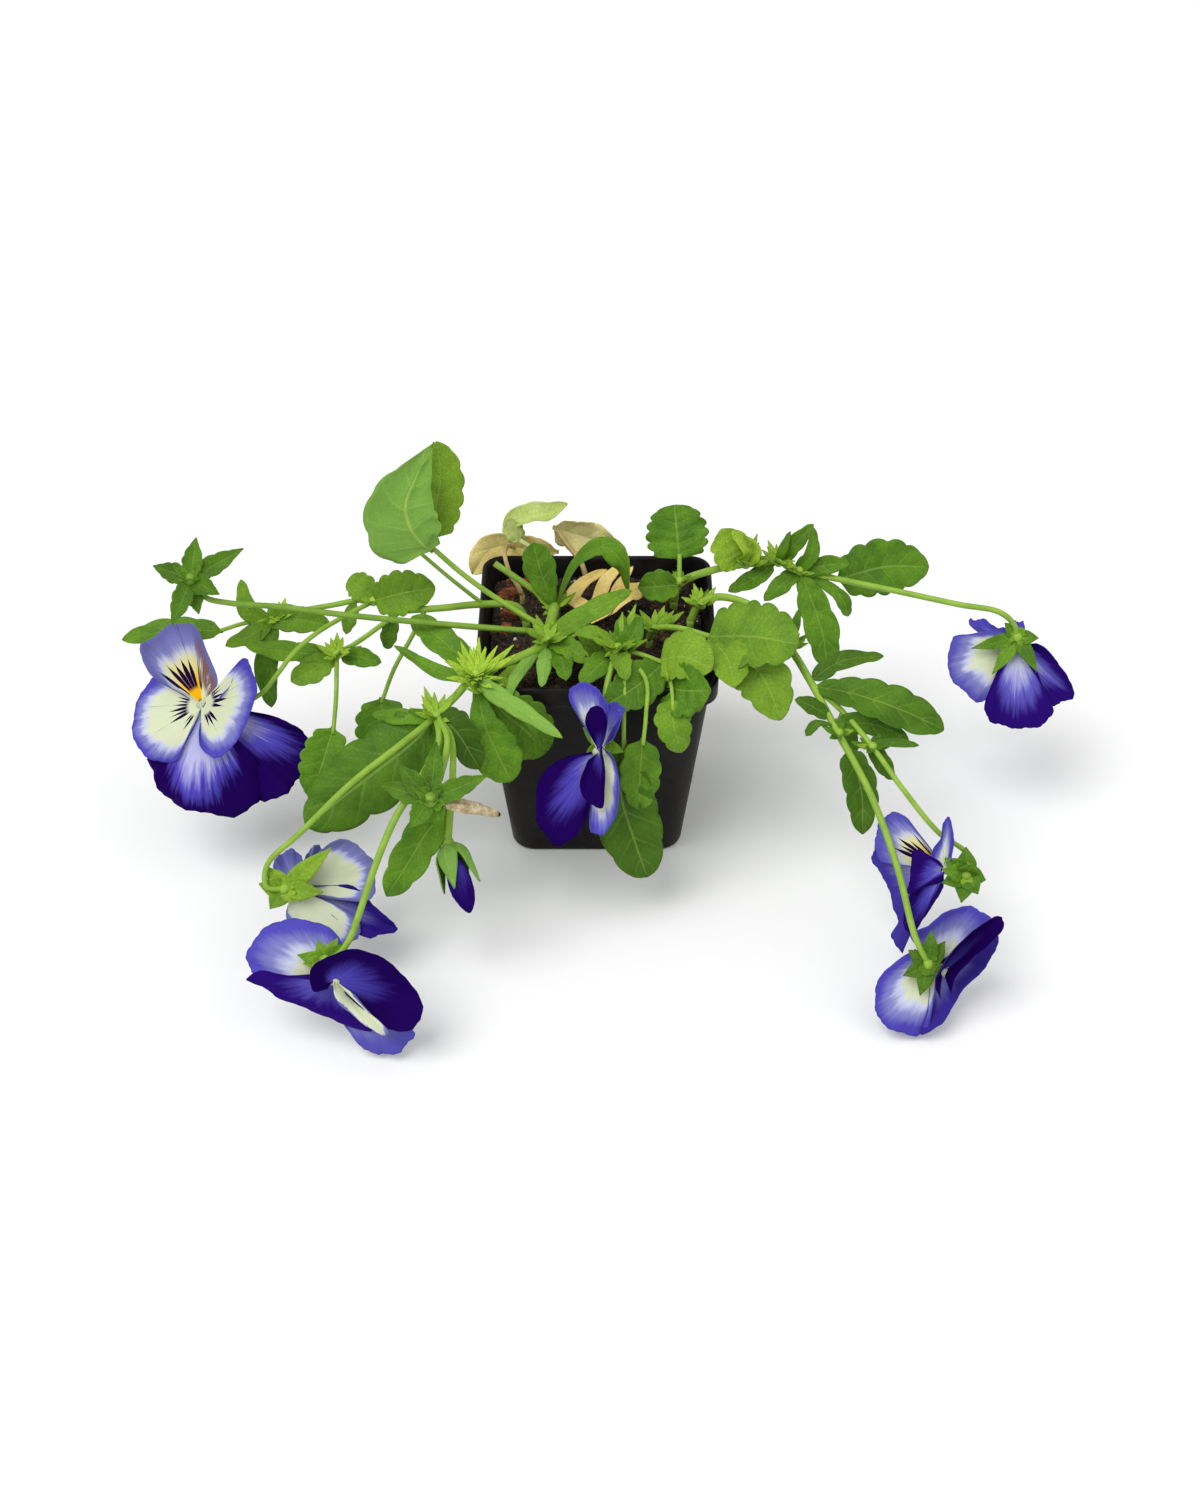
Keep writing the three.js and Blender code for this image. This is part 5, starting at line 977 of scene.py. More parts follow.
def stem_centre():
    start = foot_top("stem_centre")
    return [
        foot("stem_centre"),
        stalk([start, (2, -25, 88), (8, -28, 94)], (1.7, 1.4)),
        *stipules((8, -28, 94), 6, 12, 31, tone=0.3),
        *stipules((2, -25, 88), 7, 15, 32, tone=0.05, breadth=2.2),
        stalk([(8, -28, 93), (16, -31, 93), (25, -34, 91)], (1.0, 0.9)),
        leaf([(23, -33, 92), (32, -38, 97), (42, -43, 95)], 22, teeth=4, cup=0.25, tone=0.22),
        leaf([(24, -36, 92), (14, -46, 89), (3, -53, 86)], 17, up=(0, -0.7, 0.7), teeth=4, cup=0.25,
             tone=-0.3),
        leaf([(24, -41, 86), (32, -48, 89), (41, -52, 92)], 21, up=FORWARD, teeth=4, cup=0.25, tone=-0.12),
        leaf([(6, -29, 92), (1, -39, 94), (-6, -46, 91)], 10, teeth=3, tone=-0.1),
        leaf([(8, -29, 93), (9, -39, 96), (11, -47, 93)], 8, teeth=3, tone=0.15),
        leaf([(7, -27, 94), (-1, -26, 99), (-8, -26, 99)], 6, teeth=2, tone=0.1),
        stalk([(24, -34, 91), (27, -44, 90), (28, -52, 82)], (0.8, 0.7)),
        leaf([(27, -49, 86), (28, -55, 79), (31, -58, 68)], 14, up=FORWARD, teeth=3),
        stalk([(8, -29, 93), (18, -44, 91), (18, -53, 82), (17, -57, 71)], (0.9, 0.8)),
        leaf([(17, -56, 73), (16, -60, 59), (16, -64, 46)], 16, up=FORWARD, teeth=3),
        stalk([(8, -29, 93), (10, -44, 91), (10, -52, 80), (10, -54, 66)], (0.9, 0.8)),
        # This long leaf under bloom d gets a low tone that darkens it: partly its own muted green, partly
        # painted shade where it hangs under the bloom.
        leaf([(10, -53, 70), (9, -61, 52), (14, -68, 35), (19, -72, 20)], 25, up=FORWARD, teeth=4, peak=0.45,
             fullness=0.5, notch=0.9, tone=-0.55),
        leaf([(8, -28, 93), (13, -28, 99), (16, -23, 104)], 8, up=FORWARD, teeth=2),
        leaf([(8, -28, 94), (9, -22, 99), (10, -19, 102)], 5, up=FORWARD, teeth=2),
        stalk([(8, -28, 93), (6, -38, 94), (4, -46, 91), (3, -51, 86), (2, -55, 79),
            on_sheet("d", HEADS["d"]["calyx"])], (1.1, 1.0)),
        *calyx("d"),
    ]


def leaf_right_inner():
    start = foot_top("leaf_right_inner")
    return [
        foot("leaf_right_inner"),
        stalk([start, (22, -9, 89), (30, -14, 93), (42, -21, 94)], (1.4, 1.1)),
        *stipules((22, -9, 89), 4, 10, 35, tone=0.2, breadth=2.0),
        leaf([(41, -21, 94), (57, -28, 99), (74, -33, 99)], 29, teeth=4, fullness=0.45, cup=0.25),
        leaf([(42, -21, 94), (48, -35, 94), (50, -47, 90)], 17, teeth=4),
        leaf([(42, -21, 94), (60, -36, 88), (68, -46, 74)], 22, up=FORWARD, teeth=4),
    ]


def stem_right_back():
    start = foot_top("stem_right_back")
    return [
        foot("stem_right_back"),
        stalk([start, (32, 20, 90), (45, 25, 93), (58, 29, 93), (71, 32, 92), (79, 29, 90)], (1.7, 1.3)),
        stalk([(79, 29, 90), (93, 25, 89), (117, 19, 87), (140, 13, 85), (155, 11, 83), (161, 10, 78),
            HEADS["e"]["at"]], (1.2, 1.0)),
        *calyx("e"),
        stalk([(32, 20, 90), (32, 24, 95), (32, 27, 99)], (1.0, 0.9)),
        leaf([(32, 26, 97), (31, 32, 106), (30, 39, 114)], 25, up=FORWARD, teeth=4, fullness=0.42, cup=0.25),
        leaf([(32, 20, 91), (27, 13, 94), (16, 10, 95)], 13, up=FORWARD, teeth=3, peak=0.65),
        leaf([(56, 28, 93), (53, 27, 99), (48, 29, 109)], 19, up=FORWARD, teeth=4, cup=0.8, peak=0.6,
             tone=0.5),
        leaf([(58, 29, 93), (60, 28, 99), (52, 26, 110)], 8, up=FORWARD, teeth=2, tone=0.7),
        leaf([(71, 32, 92), (72, 31, 98), (75, 34, 105)], 4, up=FORWARD, teeth=2),
        leaf([(72, 32, 92), (77, 33, 100), (84, 36, 107)], 7, up=FORWARD, teeth=2),
        leaf([(78, 30, 90), (83, 29, 97), (84, 35, 106)], 7, up=FORWARD, teeth=2, cup=1.0),
        leaf([(69, 31, 92), (60, 24, 89), (51, 18, 88)], 8, teeth=2),
        leaf([(78, 29, 90), (72, 24, 87), (65, 19, 83)], 8, teeth=2),
        stalk([(79, 29, 90), (88, 31, 87), (96, 32, 84)], (1.0, 0.9)),
        leaf([(94, 32, 84), (113, 35, 88), (131, 38, 86)], 23, up=FORWARD, teeth=4, cup=0.25),
        leaf([(79, 29, 90), (89, 27, 94), (98, 27, 95)], 8, up=FORWARD, teeth=2),
        leaf([(79, 29, 90), (83, 22, 83), (88, 13, 71), (90, 6, 60)], 14, up=FORWARD, teeth=3, peak=0.6),
        leaf([(80, 29, 90), (95, 21, 83), (98, 18, 76)], 6, up=FORWARD, teeth=2, peak=0.6),
        *stipules((32, 20, 91), 4, 8, 43, tone=0.4),
        *stipules((58, 29, 93), 4, 9, 44, tone=0.4),
        *stipules((71, 32, 92), 5, 9, 41, tone=0.5),
        *stipules((79, 29, 90), 4, 7, 42, tone=0.5),
    ]


def stem_right_front():
    start = foot_top("stem_right_front")
    return [
        foot("stem_right_front"),
        stalk([start, (39, 7, 89), (46, 8, 92), (59, 5, 90), (72, -18, 87), (79, -36, 84), (87, -57, 78),
            (98, -78, 66), (107, -98, 49), on_sheet("g", (-5, 9, 2.5)),
            on_sheet("g", HEADS["g"]["calyx"])], (1.6, 1.0)),
        *calyx("g"),
        stalk([(79, -37, 84), (90, -49, 80), (100, -62, 74), (110, -76, 66), (123, -85, 53),
            on_sheet("f", (6, 6, -3)), on_sheet("f", HEADS["f"]["calyx"])], (1.1, 1.0)),
        *calyx("f"),
        leaf([(79, -35, 84), (90, -30, 89), (106, -29, 91)], 8, teeth=2, notch=0.6),
        leaf([(72, -19, 87), (74, -14, 93), (76, -10, 99)], 4, up=FORWARD, teeth=2),
        leaf([(85, -52, 80), (78, -52, 85), (72, -52, 88)], 7, teeth=2),
        leaf([(79, -38, 84), (94, -46, 86), (110, -51, 83), (127, -53, 75)], 17, teeth=4, peak=0.6),
        leaf([(87, -56, 79), (92, -52, 73), (96, -52, 64)], 6, up=FORWARD, teeth=2),
        leaf([(86, -54, 79), (102, -53, 77), (114, -56, 72)], 9, up=FORWARD, teeth=2),
        leaf([(91, -64, 75), (96, -71, 61), (97, -78, 46)], 13, up=FORWARD, teeth=3),
        leaf([(99, -61, 75), (104, -64, 68), (108, -66, 62)], 7, up=FORWARD, teeth=2),
        leaf([(99, -61, 75), (108, -62, 76), (117, -61, 74)], 4, teeth=2),
        leaf([(87, -56, 79), (80, -56, 80), (76, -58, 76)], 4, teeth=2, peak=0.7),
        *stipules((40, 7, 89), 5, 9, 54, tone=0.5),
        *stipules((72, -18, 87), 5, 9, 51, tone=0.4),
        *stipules((88, -58, 77), 4, 7, 52, tone=0.3),
        *stipules((100, -62, 74), 4, 7, 53, tone=0.3),
    ]


# Each stem with what its leaves are lightened or darkened by; bright young ones stay bright.
HAIRS = scatter_tree("stem_hairs", STEM, upright=True)
for name, parts, shade in [
        ("stem_left", stem_left(), 0.04), ("stem_front_left", stem_front_left(), 0.0),
        ("stem_centre", stem_centre(), 0.06), ("leaf_right_inner", leaf_right_inner(), 0.14),
        ("stem_right_back", stem_right_back(), -0.1), ("stem_right_front", stem_right_front(), -0.4)]:
    for part in parts:
        if part["finish"] == "leaf" and part["tone"][0] < 0.4:
            part["tone"] = part["tone"] + shade
    shoot = joined(name + "_grown", parts, {"leaf": LEAF, "stem": STEM})
    hairs = scattered(name + "_hairs", shoot, HAIRS, **DOWN)
    for piece in (shoot, hairs):
        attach(piece, "root")
        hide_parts(name)

# ---- pale and dead leaves ---------------------------------------------------------------
# A curled pale yellow-green leaf behind the rim, and three straw-yellow dead ones that hang
# over the edge or lie on the soil: thin, dry, crumpled blades on withered stalks.


def curled_leaf_rear():
    return [
        foot("curled_leaf_rear"),
        stalk([foot_top("curled_leaf_rear"), (-19, 32, 90), (-24, 35, 95), (-30, 37, 99)], (1.1, 0.9)),
        leaf([(-30, 37, 98.5), (-32.5, 39, 105), (-26, 42, 107.5), (-18, 43, 108.5), (-11.5, 43, 112)], 10,
             up=(-0.35, -0.6, 0.7), teeth=3, cup=0.9, wave=0.14, notch=0.9),
        leaf([(-30, 37, 98.5), (-32.5, 38, 103), (-34, 39, 108)], 9, up=FORWARD, teeth=2, cup=0.6, wave=0.1),
    ]


def dead_leaf_rear_left():
    return [
        foot("dead_leaf_rear_left"),
        stalk([foot_top("dead_leaf_rear_left"), (-31, 24, 87), (-35, 28, 91)], (1.0, 0.9)),
        stalk([(-34, 27, 91), (-36, 36, 93), (-35, 44, 92), (-33, 47.5, 89)], (0.9, 0.8)),
        leaf([(-15, 46.8, 87), (-28, 47.2, 88.5), (-41, 48.5, 88), (-50, 49, 75)], 14, up=(-0.1, -0.95, 0.2),
             teeth=3, cup=0.4, wave=0.2, peak=0.55, tone=0.25),
    ]


def dead_leaf_rear():
    return [
        foot("dead_leaf_rear"),
        stalk([foot_top("dead_leaf_rear"), (-6, 36, 89), (-12, 41, 95), (-16, 44, 100)], (1.0, 0.9)),
        leaf([(-17, 44.5, 100), (-8, 46, 96), (2, 47.5, 91), (12, 48.5, 85)], 15, up=(0.1, -1, 0.15), teeth=3,
             cup=0.5, wave=0.2, peak=0.4, tone=0.65),
    ]


def dead_leaf_centre():
    start = foot_top("dead_leaf_centre")
    return [
        foot("dead_leaf_centre"),
        leaf([start, (-4, 5, 88), (-9, 12, 88.5), (-4, 20.5, 91), (4, 24, 94)], 6.5, teeth=2, cup=0.6,
             wave=0.2),
        leaf([start, (0, 8, 89), (4, 19, 92.5), (11, 27, 96)], 6, teeth=2, cup=0.6, wave=0.2),
        leaf([start, (4, 5, 88), (9, 16, 92), (14, 24, 95.5)], 5, teeth=2, cup=0.6, wave=0.2),
        leaf([start, (6, 6, 88.5), (12, 12, 91), (19, 13, 92)], 9, up=(0, -0.4, 0.9), teeth=2, cup=0.4,
             wave=0.2, peak=0.7),
    ]


PALE_LEAF = leaf_material("pale_leaf", (0.42, 0.52, 0.11), (0.56, 0.64, 0.22), (0.66, 0.70, 0.34),
                          (0.60, 0.66, 0.32))
PALE_STEM = stem_material("pale_stem", (0.48, 0.58, 0.18), (0.60, 0.66, 0.28), (0.66, 0.70, 0.34))
DEAD_LEAF = leaf_material("dead_leaf", (0.74, 0.52, 0.14), (0.86, 0.68, 0.24), (0.86, 0.86, 0.42),
                          (0.84, 0.72, 0.33), rough=0.65)
DEAD_STEM = stem_material("dead_stem", (0.40, 0.27, 0.10), (0.60, 0.46, 0.20), (0.70, 0.58, 0.30))
for name, parts, slot, blade, stem in [
        ("curled_leaf_rear", curled_leaf_rear(), "pale_foliage", PALE_LEAF, PALE_STEM),
        ("dead_leaf_rear_left", dead_leaf_rear_left(), "dead_leaf", DEAD_LEAF, DEAD_STEM),
        ("dead_leaf_rear", dead_leaf_rear(), "dead_leaf", DEAD_LEAF, DEAD_STEM),
        ("dead_leaf_centre", dead_leaf_centre(), "dead_leaf", DEAD_LEAF, DEAD_STEM)]:
    withered = joined(name + "_blade", parts, {"leaf": blade, "stem": stem})
    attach(withered, "root")
    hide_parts(name)

# ---- blooms -----------------------------------------------------------------------------
# Seven pansy flowers of five velvety petals each, cream in the middle, edged with lilac and
# blue-violet, the two upper petals nearly black violet; the lip has a yellow throat and dark
# whiskers. Each petal grows from the tube that the calyx holds.

PETAL_THICKNESS = 0.45
PETAL_BULGE, PETAL_RUFFLE = 1.2, 0.7
PETAL_COLUMNS, PETAL_ROWS = 56, 26
LAYER_STEP = 0.95
MARKS = ("cream", "deep", "eye", "lines", "seed", "withered")
# The rim of each petal on its bloom's sheet, from one side of the claw round to the other.
PETALS = {
    "a": {
        "dark_right": [(9, -3, -6), (17, -3, -6), (27, -5, -7), (33, -8, -8), (38, -12, -9), (41, -19, -9),
            (40, -24, -8), (35, -29, -7), (30, -34, -6), (22, -37, -6), (14, -28, -6)],
        "dark_left": [(-7, -12, -3), (-17, -16, -4), (-22, -20, -5), (-20, -26, -5), (-18, -32, -5),
            (-13, -37, -4), (-5, -40, -3), (4, -42, -3), (13, -42, -4), (20, -37, -4), (22, -32, -4),
            (20, -22, -3), (10, -11, -3)],
        "lateral_left": [(-5, 3, 0), (-12, 8, 0), (-18, 10, -1), (-23, 6, -2), (-26, 0, -3), (-27, -8, -3),
            (-26, -15, -2), (-21, -20, -1), (-16, -22, 0), (-10, -21, 0), (-6, -14, 0), (-2, -6, 0)],
        "lateral_right": [(7, 2, 1), (11, 7, 3), (14, 15, 5), (17, 17, 6), (19, 14, 5), (21, 7, 3),
            (19, -2, 2), (14, -12, 1), (10, -18, 1), (5, -20, 1), (0, -17, 1), (-1, -11, 1), (0, -5, 0)],
        "lip": [(-5, 2, 1), (-10, 5, 2), (-18, 10, 3), (-22, 17, 4), (-22, 22, 3), (-17, 26, 1),
            (-11, 30, -1), (-5, 30, -2), (-2, 28, -1), (2, 19, 1), (6, 9, 2), (4, 2, 1)],
    },
    "b": {
        "lip": [(8, 5, -2), (11, 10, -3), (14, 15, -4), (21, 18, -5), (27, 14, -6), (32, 9, -7),
            (32, 3, -7), (30, -4, -6), (20, -4, -4), (10, -2, -2)],
        "dark_right": [(8, 1, -4), (17, 1, -6), (23, 1, -7), (29, -4, -8), (35, -10, -8), (40, -15, -9),
            (34, -17, -8), (29, -18, -7), (22, -14, -5), (11, -5, -4)],
        "lateral_left": [(2, -3, -3), (0, -10, -4), (4, -15, -5), (13, -20, -6), (23, -20, -6),
            (27, -14, -5), (20, -7, -4), (11, -3, -3)],
        "dark_left": [(-3, 3, -5), (-6, 8, -14), (-4, 11, -22), (1, 12, -25), (4, 9, -20), (5, 4, -7)],
        "lateral_right": [(4, 4, -5), (5, 9, -14), (7, 13, -20), (10, 14, -23), (12, 10, -17), (9, 4, -6)],
    },
    "c": {
        "lateral_left": [(3, 3, -1), (4, 9, -2), (-2, 15, -2), (-10, 17, -2), (-17, 17, -2), (-24, 13, -2),
            (-29, 6, -2), (-29, 1, -2), (-25, -3, -1), (-15, -4, 0), (-4, -5, 0)],
        "dark_left": [(-5, -2, 1), (-16, -2, 1), (-25, -1, 0), (-29, -4, -1), (-24, -7, -1), (-17, -11, -1),
            (-10, -13, -1), (-3, -17, -2), (5, -20, -2), (15, -22, 0), (12, -15, 1), (6, -8, 1)],
        "lip": [(3, -10, -1), (4, -18, -3), (8, -26, -5), (13, -30, -6), (19, -31, -6), (25, -29, -5),
            (29, -24, -4), (27, -19, -3), (16, -11, -1)],
        "dark_right": [(0, -6, 5), (-5, -7, 6), (-6, -2, 7), (-4, 3, 8), (2, 6, 9), (10, 8, 9), (19, 5, 8),
            (26, -1, 7), (31, -8, 5), (33, -15, 4), (29, -20, 3), (22, -21, 3), (13, -14, 4), (6, -8, 4)],
        "lateral_right": [(2, -6, 5), (3, -10, 6), (8, -15, 6), (14, -20, 5), (20, -23, 4), (21, -21, 5),
            (15, -15, 6), (9, -8, 6)],
    },
    "d": {
        "lateral_left": [(-3, 7, 0), (-8, 15, -1), (-11, 21, -2), (-9, 25, -2), (-4, 26, -2), (0, 23, -2),
            (3, 18, -1), (3, 11, 0), (2, 6, 0)],
        "dark_left": [(-3, 1, -2), (-12, -1, -3), (-19, -5, -4), (-23, -13, -5), (-23, -22, -6),
            (-20, -29, -6), (-15, -33, -6), (-9, -30, -5), (-5, -24, -4), (-3, -16, -3), (-1, -7, -2)],
        "lip": [(1, 3, 0), (5, -1, -1), (7, -8, -2), (7, -17, -2), (4, -26, -3), (0, -29, -4),
            (-3, -27, -4), (-3, -18, -3), (-2, -7, -1)],
        "lateral_right": [(1, 5, -1), (2, 11, -2), (3, 18, -3), (5, 19, -4), (9, 17, -5), (8, 13, -4),
            (5, 6, -2)],
        "dark_right": [(-2, 5, 3), (-5, 12, 4), (-3, 17, 5), (1, 17, 5), (3, 12, 4), (1, 3, 3), (2, -5, 2),
            (2, -12, 2), (1, -19, 1), (-4, -17, 1), (-7, -11, 1), (-4, -2, 2)],
    },
    "e": {
        "lateral_left": [(-5, 3, -3), (-11, 3, -4), (-18, 2, -4), (-24, 1, -4), (-26, -6, -3),
            (-26, -14, -2), (-22, -19, -2), (-16, -24, -1), (-12, -24, -1), (-8, -18, -1), (-3, -8, -2)],
        "dark_left": [(-5, -7, 0), (-10, -18, 1), (-13, -28, 2), (-10, -32, 2), (-5, -34, 2), (3, -35, 2),
            (10, -33, 2), (14, -28, 2), (10, -19, 1), (5, -7, 0)],
        "dark_right": [(3, -3, -2), (8, -2, -2), (15, -8, -3), (19, -14, -4), (23, -22, -4), (17, -25, -3),
            (12, -26, -2), (6, -19, -1), (2, -9, -1)],
        "lip": [(-4, 2, -6), (-9, 4, -14), (-13, 5, -24), (-14, 7, -30), (-10, 9, -32), (-5, 6, -24),
            (-2, 2, -8)],
        "lateral_right": [(1, 3, -6), (2, 5, -14), (3, 7, -26), (7, 7, -30), (9, 3, -24), (6, 0, -8)],
    },
    "f": {
        "lip": [(-6, 6, -1), (-12, 14, -1), (-17, 20, -2), (-22, 21, -3), (-26, 17, -4), (-27, 11, -5),
            (-26, 4, -5), (-17, 2, -2), (-8, 1, -1)],
        "lateral_left": [(-12, 4, -5), (-21, 7, -8), (-27, 8, -10), (-28, 4, -11), (-24, -2, -11),
            (-21, -10, -10), (-19, -19, -9), (-21, -24, -9), (-17, -30, -8)],
        "dark_left": [(-5, 4, 2), (-14, 8, 3), (-15, -1, 2), (-16, -8, 2), (-12, -6, 2), (-4, -4, 1)],
        "dark_right": [(-7, -1, -1), (-13, -5, -1), (-16, -11, -2), (-17, -19, -3), (-14, -23, -3),
            (-10, -17, -2), (-6, -11, -1), (-3, -6, -1)],
        "lateral_right": [(-5, 3, 2), (-8, 6, 3), (-5, 12, 4), (-4, 18, 4), (-2, 20, 4), (0, 14, 3),
            (0, 10, 3), (-1, 4, 2)],
    },
    "g": {
        "lip": [(-3, 5, -3), (-6, 9, -4), (0, 12, -5), (7, 17, -6), (15, 19, -7), (20, 17, -8),
            (24, 13, -8), (19, 8, -6), (12, 4, -4), (5, 0, -3)],
        "dark_left": [(6, -1, -4), (16, 5, -5), (23, 11, -8), (26, 7, -9), (24, 2, -9), (21, -3, -8),
            (16, -8, -7), (9, -17, -6), (4, -23, -5), (-2, -26, -5), (0, -18, -4), (1, -9, -4)],
        "lateral_left": [(-4, 4, -3), (-9, 1, -3), (-15, -4, -4), (-18, -11, -4), (-18, -17, -4),
            (-16, -22, -4), (-11, -25, -4), (-4, -27, -4), (0, -25, -4), (2, -16, -3), (3, -8, -3)],
        "lateral_right": [(2, -5, -8), (6, -8, -16), (11, -6, -20), (13, 0, -20), (10, 4, -12)],
        "dark_right": [(4, -13, 1), (2, -7, 3), (5, 0, 4), (9, 6, 5), (15, 12, 5), (24, 16, 4),
            (26, 14, 4), (20, 6, 3), (14, 1, 3), (10, -4, 2), (8, -11, 1)],
    },
}
# A petal whose claw starts away from the throat.
BASES = {("g", "dark_right"): (6, -4, -3)}
# How each petal is coloured: how far the cream reaches, how deep its outer colour is, how
# strong its yellow eye and its dark whiskers are, and whether a patch of it is withered.
DRESS = {
    "a": {"dark_right": (0.42, 0.97, 0, 0), "dark_left": (0.58, 0.97, 0, 0), "lip": (0.62, 0.25, 1, 1.0, 1),
          "lateral_left": (0.74, 0.5, 0, 0.5), "lateral_right": (0.68, 0.5, 0, 0.5)},
    "b": {"lip": (0.78, 0.12, 0, 0), "dark_right": (0.25, 0.70, 0, 0), "lateral_left": (0.84, 0.2, 0, 0),
          "dark_left": (0.3, 0.3, 0, 0), "lateral_right": (0.4, 0.2, 0, 0)},
    "c": {"lateral_left": (0.48, 0.46, 0, 0), "dark_left": (-0.1, 0.80, 0, 0), "lip": (0.30, 0.4, 0, 0),
          "dark_right": (-0.42, 0.97, 0, 0), "lateral_right": (0.95, 0.2, 0, 0)},
    "d": {"lateral_left": (0.60, 0.5, 0, 0), "dark_left": (0.05, 0.95, 0, 0), "lip": (0.74, 0.45, 0, 0),
          "lateral_right": (0.3, 0.5, 0, 0), "dark_right": (-0.8, 0.97, 0, 0)},
    "e": {"lateral_left": (0.66, 0.4, 0, 0), "dark_left": (0.36, 0.80, 0, 0), "lip": (0.2, 0.5, 0, 0),
          "dark_right": (0.34, 0.80, 0, 0), "lateral_right": (0.2, 0.5, 0, 0)},
    "f": {"lip": (0.60, 0.4, 0.8, 1.0), "lateral_left": (0.35, 0.62, 0, 0), "dark_left": (0.0, 0.85, 0, 0),
          "dark_right": (0.05, 0.85, 0, 0), "lateral_right": (0.45, 0.55, 0, 0)},
    "g": {"lip": (0.46, 0.5, 0, 0), "dark_left": (0.12, 0.66, 0, 0), "lateral_left": (0.56, 0.56, 0, 0),
          "lateral_right": (0.5, 0.4, 0, 0), "dark_right": (-0.8, 1.0, 0, 0)},
}


# The petals' colours: pale petals run from cream through white and lilac to slate or royal,
# the dark ones from haze through mist and cobalt to violet or black.
HUES = {
    "cream": (0.62, 0.66, 0.46), "white": (0.52, 0.55, 0.72), "lilac": (0.195, 0.20, 0.48),
    "slate": (0.15, 0.155, 0.36), "royal": (0.075, 0.062, 0.42),
    "haze": (0.44, 0.45, 0.70), "mist": (0.27, 0.265, 0.60), "cobalt": (0.074, 0.056, 0.42),
    "violet": (0.020, 0.0035, 0.150), "black": (0.0115, 0.0004, 0.078),
    "straw": (0.72, 0.62, 0.15), "gold": (0.84, 0.42, 0.005), "ink": (0.010, 0.002, 0.035),
    "rust": (0.19, 0.10, 0.09),
}


# One petal from its claw at the base to its rim: bulged, ruffled and rolled back at the edge,
# with the marks that its colours are painted by.
def petal(base, rim, dress, seed):
    cream, deep, eye, lines, withered = (*dress, 0)[:5]
    columns, rows = PETAL_COLUMNS, PETAL_ROWS
    s = np.linspace(0, 1, columns + 1)
    edge = smooth_path(rim, s)
    base = np.array(base, float)
    reach = np.linalg.norm(edge - base, axis=1).mean()
    facing = unit(np.cross(edge[:-1] - base, edge[1:] - base).sum(axis=0))
    start = min(1.3 / reach, 0.3)
    t = np.linspace(0, 1, rows + 1)[:, None]
    span = start + (1 - start) * t
    draw = np.random.default_rng(seed)
    a, b, c = draw.uniform(0, 6.28, 3)
    coarse = 7 if len(rim) > 8 else 5
    lift = PETAL_BULGE * 4 * span * (1 - span) + PETAL_RUFFLE * span**2 * np.sin(2.1 * coarse * s)
    lift = lift + 0.035 * reach * t**3 * np.sin(2 * math.pi * 4.3 * s + a)
    lift = lift + 0.012 * reach * t**4 * np.sin(2 * math.pi * 11 * s + b)
    lift = lift + 0.10 * np.sin(2 * math.pi * 17 * s + c) * t * (1.15 - t) - 0.05 * reach * t**6
    wide = 1 + 0.012 * np.sin(2 * math.pi * 6.5 * s + b) + 0.006 * np.sin(2 * math.pi * 19 * s + a)
    grid = base + (edge - base) * (span * (1 + (wide - 1) * t**2))[..., None] + facing * lift[..., None]
    down = np.gradient(grid, axis=0)
    across = np.gradient(grid, axis=1)
    normal = np.cross(down, across)
    least = 0.2 * np.linalg.norm(down, axis=2) * np.linalg.norm(across, axis=2)
    normal[np.linalg.norm(normal, axis=2) < least] = facing
    normal = unit(normal)
    margin = np.minimum(1 - t + 0 * s, np.minimum(s, 1 - s) * 4 + 0 * t)
    half = (PETAL_THICKNESS / 2 * (0.45 + 0.55 * np.clip(margin / 0.15, 0, 1)))[..., None]
    points = np.concatenate([(grid + normal * half).reshape(-1, 3), (grid - normal * half).reshape(-1, 3)])
    place = np.stack([s + 0 * t, span + 0 * s], -1).reshape(-1, 2)
    front = float(np.dot(facing, (0, -math.cos(SHEET_LEAN), math.sin(SHEET_LEAN))) > 0)
    n = (rows + 1) * (columns + 1)
    back = np.repeat([1 - front, front], n)
    made = grown(points, slab_faces(rows + 1, columns + 1), "petal", underside=back,
                 blade=np.tile(place, (2, 1)))
    sore = np.clip((place[:, 0] - 0.60) / 0.16, 0, 1) * np.clip((place[:, 1] - 0.25) / 0.15, 0, 1) * withered
    made["marks"] = {"cream": cream, "deep": deep, "eye": eye, "lines": lines, "seed": (seed % 97) / 97,
                     "withered": np.tile(sore * np.clip((0.9 - place[:, 1]) / 0.1, 0, 1), 2)}
    return made


# The petals of one bloom in their layers, with the tube that holds them.
def corolla(letter):
    head, rims = HEADS[letter], PETALS[letter]
    throat, cup = on_sheet(letter, head["throat"]), on_sheet(letter, head["calyx"])
    back = unit(cup - throat)
    out = on_sheet(letter, (0, 0, 1)) - on_sheet(letter, (0, 0, 0))
    order = sorted(rims, key=lambda name: np.mean([p[2] for p in rims[name]]))
    tube = stalk([throat - back * 0.6, throat, cup - back * (CALYX_RADIUS + 0.3)], (2.4, 1.5),
                 sides=12, ridge=0, finish="petal")
    tube["marks"] = {"cream": 1.4, "deep": 0.2, "eye": 0.6, "lines": 0.0, "seed": 0.0, "withered": 0.0}
    parts = [tube]
    for number, (name, rim) in enumerate(rims.items()):
        own = BASES.get((letter, name))
        base = on_sheet(letter, own) if own else throat + out * LAYER_STEP * (order.index(name) - 2)
        if own:
            spur = stalk([throat, base + (throat - base) * -0.2], (1.5, 1.5),
                         sides=12, ridge=0, finish="petal")
            spur["marks"] = tube["marks"]
            parts.append(spur)
        parts.append(petal(base, [on_sheet(letter, p) for p in rim], DRESS[letter][name],
                           seed=ord(letter) * 7 + number * 13))
    return parts


